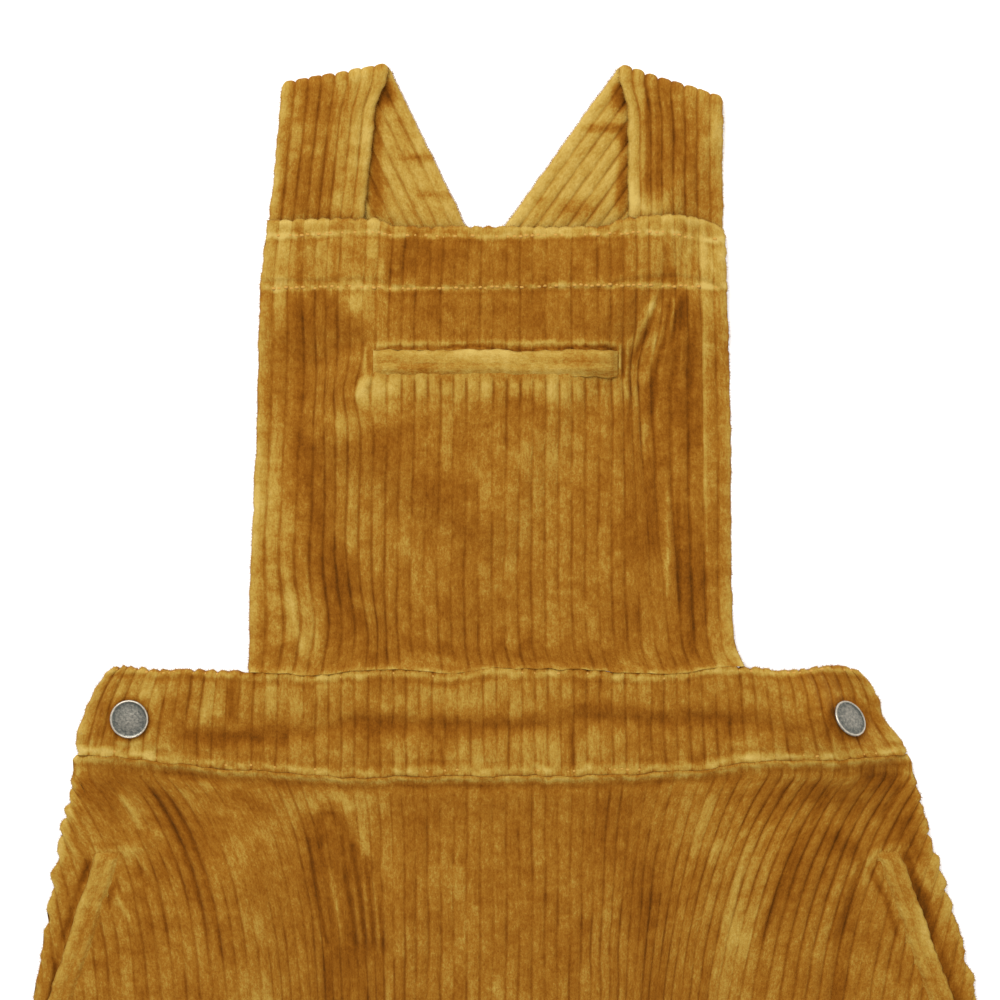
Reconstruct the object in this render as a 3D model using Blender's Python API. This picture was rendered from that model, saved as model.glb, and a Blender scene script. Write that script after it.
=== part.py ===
"""A child's corduroy pinafore dress, laid flat and face up on a surface.

Lengths below are millimetres. A place on the garment is given by two numbers: across, to the
right of the centre line as one looks down on the dress, and down, from the shoulder folds of
the straps towards the hem. The finished objects are in metres, with +Z up, +Y towards the
shoulders and the origin under the middle of the dress, on the surface that it lies on.

The layers, from the surface up: back skirt, back waistband and the slanting back runs of the
straps; over them the front skirt, front waistband and bib; on those the pocket welts and snap
caps. Corduroy wales are raised in the outer points of each panel, and its inside is plain.
"""
import bisect
import math
from collections import namedtuple

import bmesh
import bpy

# Driving dimensions -------------------------------------------------------------------------

MM = 0.001                # one millimetre in metres
SEAM_GAP = 0.3            # between neighbouring pieces
WAIST_SEAM_HALF = 0.3     # each side of the waistband's curved seam lines, so that straight
                          # runs between their points keep the gap too
SHOULDER_TO_HEM = 608.8   # whole length of the laid dress
ORIGIN_DOWN = 304.4       # the origin lies this far below the shoulder folds

CLOTH = 1.1               # cloth between two wales
WALE_HEIGHT = 0.8         # a wale above that
WALE_PITCH = 5.1          # from wale to wale
BAND_CLOTH = 2.8          # the waistband is two layers
BACK_CLOTH = 1.8          # the back skirt, which lies flat
BACK_BAND_CLOTH = 3.6     # the back waistband, two layers

BIB_WALES = 36
BIB_HEM = 23.4            # turned top hem of the bib, down to its second row of stitches
BIB_HEM_EXTRA = 0.7       # the turned hem is thicker by this much
WAISTBAND_WALES = 62
SKIRT_HEM_HALF_WIDTH = 228.0
SKIRT_HEM_RISE = 9.0      # the hem curves up by this much at the sides
SKIRT_TURNED_HEM = 25.0   # from the hem up to its row of stitches
BACK_INSET = 1.2          # the back panels end this far inside the front ones

STRAP_WIDTH = 40.4
STRAP_WALES = 8
STRAP_CLOTH = 2.3         # two thin layers, sewn flat
STRAP_RIB = 0.7
STRAP_FOLD = 1.65         # bend radius of the strap's middle at the shoulder

SNAP_RADIUS = 7.5
EDGE_ROLL = 0.55          # thickness left at a panel's very edge

# A soft step from 0 to 1: where it starts and how far it takes.
Step = namedtuple("Step", "start span")

# Tables: one row for each section, fold or strap ----------------------------------------------

BibSection = namedtuple("BibSection", "down left right")
BIB_SIDES = (
    BibSection(down=60, left=-88.1, right=90.4),
    BibSection(down=92, left=-91.0, right=91.3),
    BibSection(down=140, left=-92.5, right=93.0),
    BibSection(down=200, left=-94.9, right=93.2),
    BibSection(down=226, left=-95.2, right=94.8),
    BibSection(down=236, left=-95.5, right=99.0),
)

BibTop = namedtuple("BibTop", "across down")
BIB_TOP = (
    BibTop(across=-88, down=60.4),
    BibTop(across=-46, down=60.0),
    BibTop(across=-37, down=63.0),
    BibTop(across=42, down=63.2),
    BibTop(across=50, down=60.4),
    BibTop(across=70, down=58.4),
    BibTop(across=84, down=60.6),
    BibTop(across=91, down=64.6),
)

WaistSection = namedtuple("WaistSection", "across top bottom")
WAIST = (
    WaistSection(across=-164, top=236.4, bottom=268.8),
    WaistSection(across=-149, top=234.8, bottom=269.1),
    WaistSection(across=-124, top=235.3, bottom=272.6),
    WaistSection(across=-98, top=236.5, bottom=274.8),
    WaistSection(across=-73, top=238.0, bottom=276.4),
    WaistSection(across=-49, top=235.6, bottom=278.0),
    WaistSection(across=-21, top=236.8, bottom=276.9),
    WaistSection(across=5, top=235.4, bottom=277.0),
    WaistSection(across=31, top=236.0, bottom=277.0),
    WaistSection(across=66, top=237.2, bottom=275.9),
    WaistSection(across=86, top=235.1, bottom=274.4),
    WaistSection(across=98, top=234.3, bottom=272.0),
    WaistSection(across=113, top=235.9, bottom=271.0),
    WaistSection(across=135, top=234.4, bottom=270.0),
    WaistSection(across=142, top=236.2, bottom=269.6),
    WaistSection(across=165, top=240.0, bottom=268.6),
)

WaistEnd = namedtuple("WaistEnd", "share left right")
WAIST_ENDS = (
    WaistEnd(share=0.0, left=-149.6, right=144.2),
    WaistEnd(share=0.25, left=-155.2, right=150.2),
    WaistEnd(share=0.5, left=-159.6, right=152.4),
    WaistEnd(share=0.8, left=-162.6, right=158.4),
    WaistEnd(share=1.0, left=-163.8, right=163.0),
)

SkirtSection = namedtuple("SkirtSection", "down left right")
SKIRT_SIDES = (
    SkirtSection(down=268, left=-163.4, right=163.2),
    SkirtSection(down=284, left=-164.8, right=166.2),
    SkirtSection(down=298, left=-168.4, right=169.8),
    SkirtSection(down=322, left=-171.9, right=177.0),
    SkirtSection(down=340, left=-174.9, right=182.4),
    SkirtSection(down=420, left=-189.0, right=201.0),
    SkirtSection(down=520, left=-210.5, right=216.5),
    SkirtSection(down=SHOULDER_TO_HEM - SKIRT_HEM_RISE,
                 left=-SKIRT_HEM_HALF_WIDTH, right=SKIRT_HEM_HALF_WIDTH),
)

# How the skirt's wales lean towards the middle below the waist, on each side.
Lean = namedtuple("Lean", "side shift over")
LEANS = {
    -1: Lean(side=-1, shift=32.0, over=37.0),
    1: Lean(side=1, shift=40.0, over=56.0),
}
LEAN_STARTS = 20.0        # across, at the waist
LEAN_ENDS = 133.0

# Soft folds of the front skirt: where they are below the waist and at the hem, how far down
# they start, half their width at the waist and at the hem, and their height.
Fold = namedtuple("Fold", "waist hem starts narrow wide height")
FOLDS = (
    Fold(waist=-96, hem=-128, starts=4, narrow=17, wide=30, height=3.8),
    Fold(waist=-38, hem=-30, starts=16, narrow=9, wide=19, height=3.4),
    Fold(waist=16, hem=34, starts=96, narrow=8, wide=24, height=2.4),
    Fold(waist=72, hem=92, starts=24, narrow=8, wide=15, height=2.6),
    Fold(waist=110, hem=146, starts=8, narrow=12, wide=26, height=4.2),
)

# A strap's straight run up the front, the slant in degrees of its shoulder fold, how far its
# back run curves aside before the waist, and whether that run passes over the other one.
Strap = namedtuple("Strap", "foot_across foot_down fold_across fold_down fold_rises curves over")
STRAPS = {
    "left": Strap(foot_across=-70.2, foot_down=88.0, fold_across=-61.8, fold_down=6.7,
                  fold_rises=10.0, curves=0.0, over=False),
    "right": Strap(foot_across=70.0, foot_down=88.0, fold_across=69.4, fold_down=9.6,
                   fold_rises=-17.6, curves=26.0, over=True),
}
STRAP_CURVE_DOWN = 110.0  # where a back run starts to curve
STRAP_END_DOWN = 233.0    # where it meets the back waistband
STRAP_EDGE_THIN = 0.5     # each face of a strap draws in by this much at its edges
FRONT_RUN_SINKS = Step(start=1.0, span=16.0)       # away from the back run under it
OUTER_RIBS_FADE = Step(start=0.375, span=0.625)    # shares of the turn at the shoulder
INNER_RIBS_GROW = Step(start=0.95, span=0.05)
OUTER_THIN_UNTIL = 0.6    # share of the turn

HipWelt = namedtuple("HipWelt", "top_across top_down end_across end_down")
HIP_WELTS = {
    "left": HipWelt(top_across=-149.4, top_down=306.4, end_across=-174.6, end_down=384.0),
    "right": HipWelt(top_across=153.4, top_down=306.2, end_across=181.6, end_down=384.0),
}
HIP_WELT_WIDTH = 10.4
WELT_CLOTH = 1.5

BibWelt = namedtuple("BibWelt", "left right top bottom")
BIB_WELT = BibWelt(left=-46.6, right=48.6, top=111.4, bottom=121.8)

BackBand = namedtuple("BackBand", "left right top bottom")
BACK_BAND = BackBand(left=-146.0, right=121.0, top=238.8, bottom=267.0)

Snap = namedtuple("Snap", "across down")
SNAPS = {
    "left": Snap(across=-141.2, down=254.7),
    "right": Snap(across=137.8, down=254.7),
}

# The right end of the waistband stands up a little and rolls over towards the shoulder side.
ROLL_HEIGHT = 10.8
ROLL_SLANT = 42.0         # degrees, the way the roll falls, up from across
ROLL_REACH = 15.0         # along the fall
ROLL_MIDDLE = 252.0       # down
ROLL_HALF_LENGTH = 26.0   # down
ROLL_RISES = Step(start=92.0, span=40.0)           # across
LEFT_END_HEIGHT = 2.4
LEFT_END_RISES = Step(start=100.0, span=34.0)      # across, to the left
LEFT_END_FALLS = Step(start=148.0, span=16.0)

# The front band's ends come down past the back band: along the roll's fall on the right, and
# across past the back band's ends.
END_LOWEST = 0.6
END_OVER_SKIRT = 0.2      # over the back skirt's gap, where the ends meet it
END_MEETS_SKIRT = Step(start=252.0, span=10.0)     # down
RIGHT_END_FALLS = Step(start=1.0, span=9.0)        # along the fall
RIGHT_END_PAST = Step(start=3.0, span=8.0)         # across, past the back band
LEFT_END_PAST = Step(start=3.0, span=12.0)

Finish = namedtuple("Finish", "red green blue roughness metal")
CORDUROY = Finish(red=0.372, green=0.178, blue=0.032, roughness=0.95, metal=0.0)
STEEL = Finish(red=0.33, green=0.34, blue=0.35, roughness=0.3, metal=1.0)


# Small helpers -------------------------------------------------------------------------------

def ramp(share):
    """A soft step, from 0 at 0 to 1 at 1."""
    share = min(max(share, 0.0), 1.0)
    return share * share * (3.0 - 2.0 * share)


def climb(step, at):
    """How far a soft step has gone at a place."""
    return ramp((at - step.start) / step.span)


def bell(distance, half_width):
    """A soft bump, 1 at its middle and nearly 0 past twice its half width."""
    return math.exp(-(distance / half_width) ** 2)


def mix(first, second, share):
    return first + (second - first) * share


def settle(*heights):
    """The height at which cloth rests over several things: never lower than any of them."""
    return sum(height ** 4 for height in heights) ** 0.25


def follow(rows, given, wanted, at):
    """Read a table's column between its rows, on a smooth curve that never overshoots."""
    keys = [getattr(row, given) for row in rows]
    values = [getattr(row, wanted) for row in rows]
    if at <= keys[0]:
        return values[0]
    if at >= keys[-1]:
        return values[-1]
    spans = [keys[i + 1] - keys[i] for i in range(len(keys) - 1)]
    slopes = [(values[i + 1] - values[i]) / spans[i] for i in range(len(spans))]

    def tangent(i):
        if i == 0 or i == len(spans):
            return slopes[min(i, len(spans) - 1)]
        before, after = slopes[i - 1], slopes[i]
        return 0.0 if before * after <= 0 else 2 * before * after / (before + after)

    i = bisect.bisect_right(keys, at) - 1
    t = (at - keys[i]) / spans[i]
    rise = values[i + 1] - values[i]
    start = tangent(i) * spans[i] * t * (1 - t) ** 2
    end = tangent(i + 1) * spans[i] * t * t * (t - 1)
    return values[i] + rise * ramp(t) + start + end


HALVINGS = 40             # leaves far less than a micrometre


def solve(function, low, high):
    """Where a rising function passes zero."""
    for _ in range(HALVINGS):
        middle = (low + high) / 2
        if function(middle) < 0:
            low = middle
        else:
            high = middle
    return (low + high) / 2


def position(across, down, height):
    return (across * MM, (ORIGIN_DOWN - down) * MM, height * MM)


def shared_material(name, finish):
    """One Principled material for a node."""
    material = bpy.data.materials.new(name + "_finish")
    material.use_nodes = True
    shader = material.node_tree.nodes["Principled BSDF"]
    shader.inputs["Base Color"].default_value = (finish.red, finish.green, finish.blue, 1.0)
    shader.inputs["Roughness"].default_value = finish.roughness
    shader.inputs["Metallic"].default_value = finish.metal
    return material


def add_object(name, points, faces, finish):
    """Make one closed object from places on the garment, with its faces turned out."""
    mesh = bpy.data.meshes.new(name)
    build = bmesh.new()
    corners = [build.verts.new(position(*point)) for point in points]
    for face in faces:
        build.faces.new([corners[index] for index in face])
    bmesh.ops.recalc_face_normals(build, faces=build.faces)
    build.to_mesh(mesh)
    build.free()
    mesh.materials.append(shared_material(name, finish))
    piece = bpy.data.objects.new(name, mesh)
    bpy.context.scene.collection.objects.link(piece)
    return piece


# Panels: a wall between an outer grid of points and a plainer inner one ------------------------

def zip_edges(first, second):
    """Triangles between two runs of points that go the same way but have unlike counts."""
    faces = []
    i = j = 0
    while i < len(first) - 1 or j < len(second) - 1:
        next_first = (i + 1) / max(len(first) - 1, 1)
        next_second = (j + 1) / max(len(second) - 1, 1)
        if j == len(second) - 1 or (i < len(first) - 1 and next_first <= next_second):
            faces.append((first[i], first[i + 1], second[j]))
            i += 1
        else:
            faces.append((first[i], second[j + 1], second[j]))
            j += 1
    return faces


def thin_out(items, step):
    """Every step-th item, with the last one always kept."""
    kept = list(items[:-1:step])
    return kept + [items[-1]]


def panel(name, finish, columns, rows, outer, inner, column_step=4, row_step=2):
    """A wall of cloth. outer and inner give the place of a column's point on each face."""
    inner_columns = thin_out(columns, column_step)
    inner_rows = thin_out(rows, row_step)
    points = []
    grids = []
    for grid_columns, grid_rows, face in ((columns, rows, outer), (inner_columns, inner_rows, inner)):
        grid = []
        for column in grid_columns:
            grid.append(list(range(len(points), len(points) + len(grid_rows))))
            points.extend(face(column, row) for row in grid_rows)
        grids.append(grid)
    faces = []
    for grid in grids:
        for left, right in zip(grid, grid[1:]):
            for k in range(len(left) - 1):
                faces.append((left[k], right[k], right[k + 1], left[k + 1]))
    top, under = grids
    faces += zip_edges([column[0] for column in top], [column[0] for column in under])
    faces += zip_edges([column[-1] for column in top], [column[-1] for column in under])
    faces += zip_edges(top[0], under[0])
    faces += zip_edges(top[-1], under[-1])
    return add_object(name, points, faces, finish)


def shares(steps):
    """Even shares of a length, from 0 to 1."""
    return [index / steps for index in range(steps + 1)]


def wale_columns(count):
    """Two columns for each wale, as (share of the width, crest): grooves 0 and crests 1."""
    return [(index / (2 * count), index % 2) for index in range(2 * count + 1)]


def rolled(share_across, share_along):
    """The share of a wall's thickness that is left, less at its very edges."""
    at_edge = share_across in (0.0, 1.0) or share_along in (0.0, 1.0)
    return EDGE_ROLL if at_edge else 1.0


# Straps --------------------------------------------------------------------------------------

def unit(angle):
    return (math.cos(math.radians(angle)), math.sin(math.radians(angle)))


class StrapPath:
    """A flat strip that runs up the front, turns over a slanted fold and runs down behind.

    Plan coordinates here are (across, up) with the fold's middle at (0, 0). A strip that is
    folded flat comes back as its own mirror image in the fold.
    """

    def __init__(self, strap):
        self.strap = strap
        rise = (strap.fold_across - strap.foot_across, strap.foot_down - strap.fold_down)
        self.front_length = math.hypot(*rise)
        self.run = (rise[0] / self.front_length, rise[1] / self.front_length)
        self.fold = unit(strap.fold_rises)
        along_fold = self.run[0] * self.fold[0] + self.run[1] * self.fold[1]
        self.back_run = (2 * along_fold * self.fold[0] - self.run[0],
                         2 * along_fold * self.fold[1] - self.run[1])
        self.turn_length = math.pi * STRAP_FOLD

    def plan(self, along, sideways):
        """(across, down, bend) of the strip's middle surface; bend runs 0 to pi at the fold."""
        ahead = along - self.front_length
        flat = (self.run[0] * ahead + self.run[1] * sideways,
                self.run[1] * ahead - self.run[0] * sideways)
        on_fold = flat[0] * self.fold[0] + flat[1] * self.fold[1]
        past = flat[1] * self.fold[0] - flat[0] * self.fold[1]
        if past <= 0:
            reach, bend = past, 0.0
        elif past < self.turn_length:
            bend = past / STRAP_FOLD
            reach = STRAP_FOLD * math.sin(bend)
        else:
            reach, bend = self.turn_length - past, math.pi
        across = self.strap.fold_across + on_fold * self.fold[0] - reach * self.fold[1]
        down = self.strap.fold_down - on_fold * self.fold[1] - reach * self.fold[0]
        if bend == math.pi:
            across += self.aside(down)
        return across, down, bend

    def aside(self, down):
        """How far the back run has curved aside at a place."""
        return self.strap.curves * ramp((down - STRAP_CURVE_DOWN)
                                        / (STRAP_END_DOWN - STRAP_CURVE_DOWN))

    def outside_back_run(self, across, down):
        """How far a place lies outside the strip's back run; negative on it."""
        offset = (across - self.aside(down) - self.strap.fold_across, self.strap.fold_down - down)
        sideways = abs(offset[0] * self.back_run[1] - offset[1] * self.back_run[0])
        return sideways - STRAP_WIDTH / 2

    def outside_front_run(self, across, down):
        """How far a place lies outside the strip's front run, its end included."""
        offset = (across - self.strap.fold_across, self.strap.fold_down - down)
        sideways = abs(offset[0] * self.run[1] - offset[1] * self.run[0]) - STRAP_WIDTH / 2
        beyond = -(offset[0] * self.run[0] + offset[1] * self.run[1]) - self.front_length
        if sideways > 0 and beyond > 0:
            return math.hypot(sideways, beyond)
        return max(sideways, beyond)

    def back_distance(self, across, down):
        """Length along the back run, from the fold."""
        offset = (across - self.aside(down) - self.strap.fold_across, self.strap.fold_down - down)
        return offset[0] * self.back_run[0] + offset[1] * self.back_run[1]


PATHS = {side: StrapPath(strap) for side, strap in STRAPS.items()}
STRAP_THICKNESS = STRAP_CLOTH + STRAP_RIB
STRAP_STEP = STRAP_THICKNESS + SEAM_GAP


def find_crossing():
    """Where the middle lines of the two back runs cross, as (across, down)."""
    left, right = PATHS["left"], PATHS["right"]

    def apart(down):
        ends = []
        for path in (left, right):
            slope = path.back_run[0] / -path.back_run[1]
            ends.append(path.strap.fold_across + slope * (down - path.strap.fold_down)
                        + path.aside(down))
        return ends[0] - ends[1]

    down = solve(apart, 0.0, STRAP_END_DOWN)
    slope = left.back_run[0] / -left.back_run[1]
    return left.strap.fold_across + slope * (down - left.strap.fold_down), down


CROSSING = find_crossing()
CROSSING_HALF = 42.0      # along the upper strap, the stretch that lies on the lower one
CROSSING_SLOPE = 24.0


def crossing_lift(path, across, down, margin=0.0):
    """How far a back run is lifted where it passes over the other one."""
    if not path.strap.over:
        return 0.0
    away = abs(path.back_distance(across, down) - path.back_distance(*CROSSING)) - margin
    return STRAP_STEP * (1.0 - ramp((away - CROSSING_HALF) / CROSSING_SLOPE))


def front_run_sinks(path, across, down, margin=0.0):
    """How far a front run sinks where its back run is no longer under it."""
    return STRAP_STEP * climb(FRONT_RUN_SINKS, path.outside_back_run(across, down) - margin)


SHORTEST_BACK_RUN = 20.0
LONGEST_BACK_RUN = 400.0
BARELY_BENT = 1e-6        # the bend at which a column counts as having met the fold


def strap_end(path, sideways):
    """Length along the strip at which its back run meets the back waistband."""
    start = path.front_length + path.turn_length
    return solve(lambda along: path.plan(along, sideways)[1] - STRAP_END_DOWN,
                 start + SHORTEST_BACK_RUN, start + LONGEST_BACK_RUN)


def strap_point(path, along, sideways, face, rib):
    """A point of the strap: face is 1 for its outside and -1 for its inside."""
    across, down, bend = path.plan(along, sideways)
    offset = face * (STRAP_CLOTH / 2 + rib)
    middle = STRAP_CLOTH / 2 + STRAP_FOLD
    outward = offset * math.sin(bend)
    height = middle + (STRAP_FOLD + offset) * math.cos(bend)
    across -= outward * path.fold[1]
    down -= outward * path.fold[0]
    if bend == 0.0:
        height -= front_run_sinks(path, across, down)
    elif bend == math.pi:
        height += crossing_lift(path, across, down)
    return across, down, height


TURN_STEPS = 6
FRONT_ROWS = (0.0, 0.03, 0.34, 0.67)      # shares of the front run, before the fold
BACK_ROWS = (0.08, 0.2, 0.33, 0.415, 0.5, 0.59, 0.675, 0.8, 0.985, 1.0)


def strap_column(path, share_across, crest):
    """(outside point, inside point) pairs along one column of the strap, from its foot."""
    sideways = (share_across - 0.5) * STRAP_WIDTH
    # Where this column meets the slanted fold.
    to_fold = solve(lambda along: path.plan(along, sideways)[2] - BARELY_BENT,
                    0.0, path.front_length + STRAP_WIDTH)
    after_fold = to_fold + path.turn_length
    lengths = [share * to_fold for share in FRONT_ROWS]
    lengths += [to_fold + path.turn_length * k / TURN_STEPS for k in range(TURN_STEPS + 1)]
    lengths += [mix(after_fold, strap_end(path, sideways), share) for share in BACK_ROWS]
    at_side = share_across in (0.0, 1.0)
    column = []
    for index, along in enumerate(lengths):
        turned = min(max((along - to_fold) / path.turn_length, 0.0), 1.0)
        outer = STRAP_RIB * crest * (1.0 - climb(OUTER_RIBS_FADE, turned))
        inner = STRAP_RIB * crest * climb(INNER_RIBS_GROW, turned)
        at_edge = at_side or index in (0, len(lengths) - 1)
        if at_edge and turned < OUTER_THIN_UNTIL:
            outer -= STRAP_EDGE_THIN
        if at_edge and turned == 1.0:
            inner -= STRAP_EDGE_THIN
        column.append((strap_point(path, along, sideways, 1, outer),
                       strap_point(path, along, sideways, -1, inner)))
    return column


def strap_faces(outside, inside):
    """Quads over the strap's two faces, along its sides and across its ends."""
    faces = []
    for grid in (outside, inside):
        for left, right in zip(grid, grid[1:]):
            for k in range(len(left) - 1):
                faces.append((left[k], right[k], right[k + 1], left[k + 1]))
    for first, second in ((outside[0], inside[0]), (outside[-1], inside[-1])):
        for k in range(len(first) - 1):
            faces.append((first[k], first[k + 1], second[k + 1], second[k]))
    for end in (0, -1):
        for left in range(len(outside) - 1):
            faces.append((outside[left][end], outside[left + 1][end],
                          inside[left + 1][end], inside[left][end]))
    return faces


def make_strap(side):
    points = []
    outside = []
    inside = []
    for share_across, crest in wale_columns(STRAP_WALES):
        column = strap_column(PATHS[side], share_across, crest)
        for grid, face in ((outside, 0), (inside, 1)):
            grid.append(list(range(len(points), len(points) + len(column))))
            points.extend(pair[face] for pair in column)
    return add_object("strap_" + side, points, strap_faces(outside, inside), CORDUROY)


# Waistband -----------------------------------------------------------------------------------

BAND_UNDER = BACK_BAND_CLOTH + SEAM_GAP
BAND_CREASE_DOWN = 258.0
BAND_CREASE_DEPTH = 0.5
BAND_CREASE_HALF = 4.5
BAND_CREASE_FADES = Step(start=95.0, span=30.0)    # outwards


def waist_top(across):
    return follow(WAIST, "across", "top", across)


def waist_bottom(across):
    return follow(WAIST, "across", "bottom", across)


def roll_reach(across, down):
    """How far a place lies along the fall of the rolled right end, from its snap."""
    fall = unit(ROLL_SLANT)
    snap = SNAPS["right"]
    return (across - snap.across) * fall[0] - (down - snap.down) * fall[1]


def side_roll(across, down):
    """Extra height under the right end of the waistband, and a little under the left end."""
    fallen = ramp((roll_reach(across, down) + ROLL_REACH / 2) / ROLL_REACH)
    near = bell(down - ROLL_MIDDLE, ROLL_HALF_LENGTH)
    right = ROLL_HEIGHT * (1.0 - fallen) * climb(ROLL_RISES, across) * near
    left = LEFT_END_HEIGHT * climb(LEFT_END_RISES, -across) * near
    return right + left * (1.0 - climb(LEFT_END_FALLS, -across))


def end_drop(across, down):
    """The front band's ends come down past the ends of the back band."""
    right = climb(RIGHT_END_FALLS, roll_reach(across, down))
    right *= climb(RIGHT_END_PAST, across - BACK_BAND.right)
    left = climb(LEFT_END_PAST, BACK_BAND.left - across)
    lowest = mix(END_LOWEST, SKIRT_UNDER + END_OVER_SKIRT, climb(END_MEETS_SKIRT, down))
    return (BAND_UNDER - lowest) * max(right, left)


def under_band(across, down):
    return BAND_UNDER + side_roll(across, down) - end_drop(across, down)


def band_place(share_across, share_down):
    """Wales stand upright along most of the band and lean with its slanted ends."""
    left = follow(WAIST_ENDS, "share", "left", share_down)
    right = follow(WAIST_ENDS, "share", "right", share_down)
    middle_left = follow(WAIST_ENDS, "share", "left", 0.5)
    middle_right = follow(WAIST_ENDS, "share", "right", 0.5)
    across = mix(middle_left, middle_right, share_across)
    out = 2.0 * share_across - 1.0
    if out < 0:
        across += (left - middle_left) * out ** 4
    else:
        across += (right - middle_right) * out ** 4
    top, bottom = waist_top(across), waist_bottom(across)
    return across, mix(top + WAIST_SEAM_HALF, bottom - WAIST_SEAM_HALF, share_down)


def band_surface(across, down, crest):
    """Height of the front waistband's outer face."""
    crease = bell(down - BAND_CREASE_DOWN, BAND_CREASE_HALF)
    crease *= 1.0 - climb(BAND_CREASE_FADES, abs(across))
    height = under_band(across, down) + BAND_CLOTH + WALE_HEIGHT * crest
    return height - BAND_CREASE_DEPTH * crease


BAND_ROWS = (0.0, 0.06, 0.28, 0.5, 0.66, 0.94, 1.0)


def make_front_band():
    def outer(column, row):
        share, crest = column
        across, down = band_place(share, row)
        low = under_band(across, down)
        return across, down, low + (band_surface(across, down, crest) - low) * rolled(share, row)

    def inner(column, row):
        across, down = band_place(column[0], row)
        return across, down, under_band(across, down)

    return panel("waistband_front", CORDUROY, wale_columns(WAISTBAND_WALES), BAND_ROWS, outer, inner)


BACK_BAND_STEPS = 12


def make_back_band():
    columns = shares(BACK_BAND_STEPS)

    def place(column, row):
        across = mix(BACK_BAND.left, BACK_BAND.right, column)
        return across, mix(BACK_BAND.top, BACK_BAND.bottom, row)

    def outer(column, row):
        across, down = place(column, row)
        return across, down, BACK_BAND_CLOTH

    def inner(column, row):
        across, down = place(column, row)
        return across, down, 0.0

    return panel("waistband_back", CORDUROY, columns, (0.0, 0.5, 1.0), outer, inner,
                 column_step=1, row_step=1)


# Bib -----------------------------------------------------------------------------------------

BIB_ROWS = (0.0, 2.0, 12.0, 22.8, 25.0, 40.0, 56.0, 74.0, 92.0, 110.0, 130.0, 148.0, 162.0,
            171.0, 173.0)    # down from the bib's top edge
BIB_LENGTH = BIB_ROWS[-1]
BIB_SEAM_GAP = 0.21       # its share of the gap along the slanting waist seam
BIB_REST = 9.0            # the bib lies on a strap this far past the strap's edge
BIB_SAG = 26.0            # and comes down to the surface over this much more
BIB_SLACK = 0.4           # it doesn't press on the straps
BIB_LEAVES_WAIST = Step(start=1.0, span=26.0)      # up from the waistband
BIB_HEM_EDGE = Step(start=-0.4, span=1.2)          # down, past the turned hem


def under_bib(across, down):
    """Height of the bib's inside: on the straps, on the waist seam, else on the surface."""
    heights = []
    for path in PATHS.values():
        top = STRAP_STEP + BIB_SLACK + crossing_lift(path, across, down, BIB_REST)
        off = path.outside_back_run(across, down)
        heights.append(top * (1.0 - ramp((off - BIB_REST) / BIB_SAG)))
        top = 2 * STRAP_STEP + BIB_SLACK - front_run_sinks(path, across, down, BIB_REST)
        off = path.outside_front_run(across, down)
        heights.append(top * (1.0 - ramp((off - BIB_REST) / BIB_SAG)))
    to_waist = waist_top(across) - down
    at_waist = under_band(across, waist_top(across))
    heights.append(at_waist * (1.0 - climb(BIB_LEAVES_WAIST, to_waist)))
    return settle(*heights)


def bib_place(share_across, below_top):
    """Wales run down the bib and spread slightly with it."""
    guess = follow(BIB_SIDES, "down", "left", BIB_SIDES[0].down + below_top)
    other = follow(BIB_SIDES, "down", "right", BIB_SIDES[0].down + below_top)
    across = mix(guess, other, share_across)
    top = follow(BIB_TOP, "across", "down", across)
    bottom = waist_top(across) - BIB_SEAM_GAP
    down = mix(top, bottom, below_top / BIB_LENGTH)
    left = follow(BIB_SIDES, "down", "left", down)
    right = follow(BIB_SIDES, "down", "right", down)
    return mix(left, right, share_across), down


def bib_surface(across, down, crest):
    """Height of the bib's outer face."""
    below_top = down - follow(BIB_TOP, "across", "down", across)
    hem = BIB_HEM_EXTRA * (1.0 - climb(BIB_HEM_EDGE, below_top - BIB_HEM))
    return under_bib(across, down) + CLOTH + hem + WALE_HEIGHT * crest


def make_bib():
    def outer(column, row):
        share, crest = column
        across, down = bib_place(share, row)
        low = under_bib(across, down)
        left = rolled(share, row / BIB_LENGTH)
        return across, down, low + (bib_surface(across, down, crest) - low) * left

    def inner(column, row):
        across, down = bib_place(column[0], row)
        return across, down, under_bib(across, down)

    return panel("bib_front", CORDUROY, wale_columns(BIB_WALES), BIB_ROWS, outer, inner,
                 row_step=1)


# Skirt ---------------------------------------------------------------------------------------

SKIRT_UNDER = BACK_CLOTH + SEAM_GAP
SHORTEST_COLUMN = 6.0
COLUMN_SLACK = 0.01
WIDEST_WAIST = 300.0      # the outermost wale would start between these places along the waist
NARROWEST_WAIST = 150.0
LOFT_GROWS = 45.0         # a fold grows to its full height over this much
LOFT_SIDE = 14.0          # and goes flat over this much at the side edges
SEAM_SETTLES = 14.0       # below the waistband, the height of its seam is lost over this much
SIDE_SEAM_LEFT = 0.35     # share of the seam's height left at the side edge
SIDE_SEAM_GROWS = 10.0
HEM_PRESS_DEPTH = 0.35    # the hem's stitch line is pressed in
HEM_PRESS_HALF = 2.5
BACK_SKIRT_COLUMNS = 16
BACK_SKIRT_ROWS = 10
SKIRT_ROWS = (0.0, 0.025, 0.08, 0.16, 0.3, 0.52, 0.78, 0.985, 1.0)


def hem_down(across):
    return SHOULDER_TO_HEM - SKIRT_HEM_RISE * (across / SKIRT_HEM_HALF_WIDTH) ** 2


def wale_across(at_waist, down):
    """Where a wale that starts at a place along the waist lies, further down."""
    side = 1 if at_waist > 0 else -1
    lean = LEANS[side]
    share = ramp((abs(at_waist) - LEAN_STARTS) / (LEAN_ENDS - LEAN_STARTS))
    below = max(down - waist_bottom(0.0), 0.0)
    return at_waist - side * lean.shift * share * (1.0 - math.exp(-below / lean.over))


def skirt_side(side, down):
    return follow(SKIRT_SIDES, "down", "left" if side < 0 else "right", down)


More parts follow.
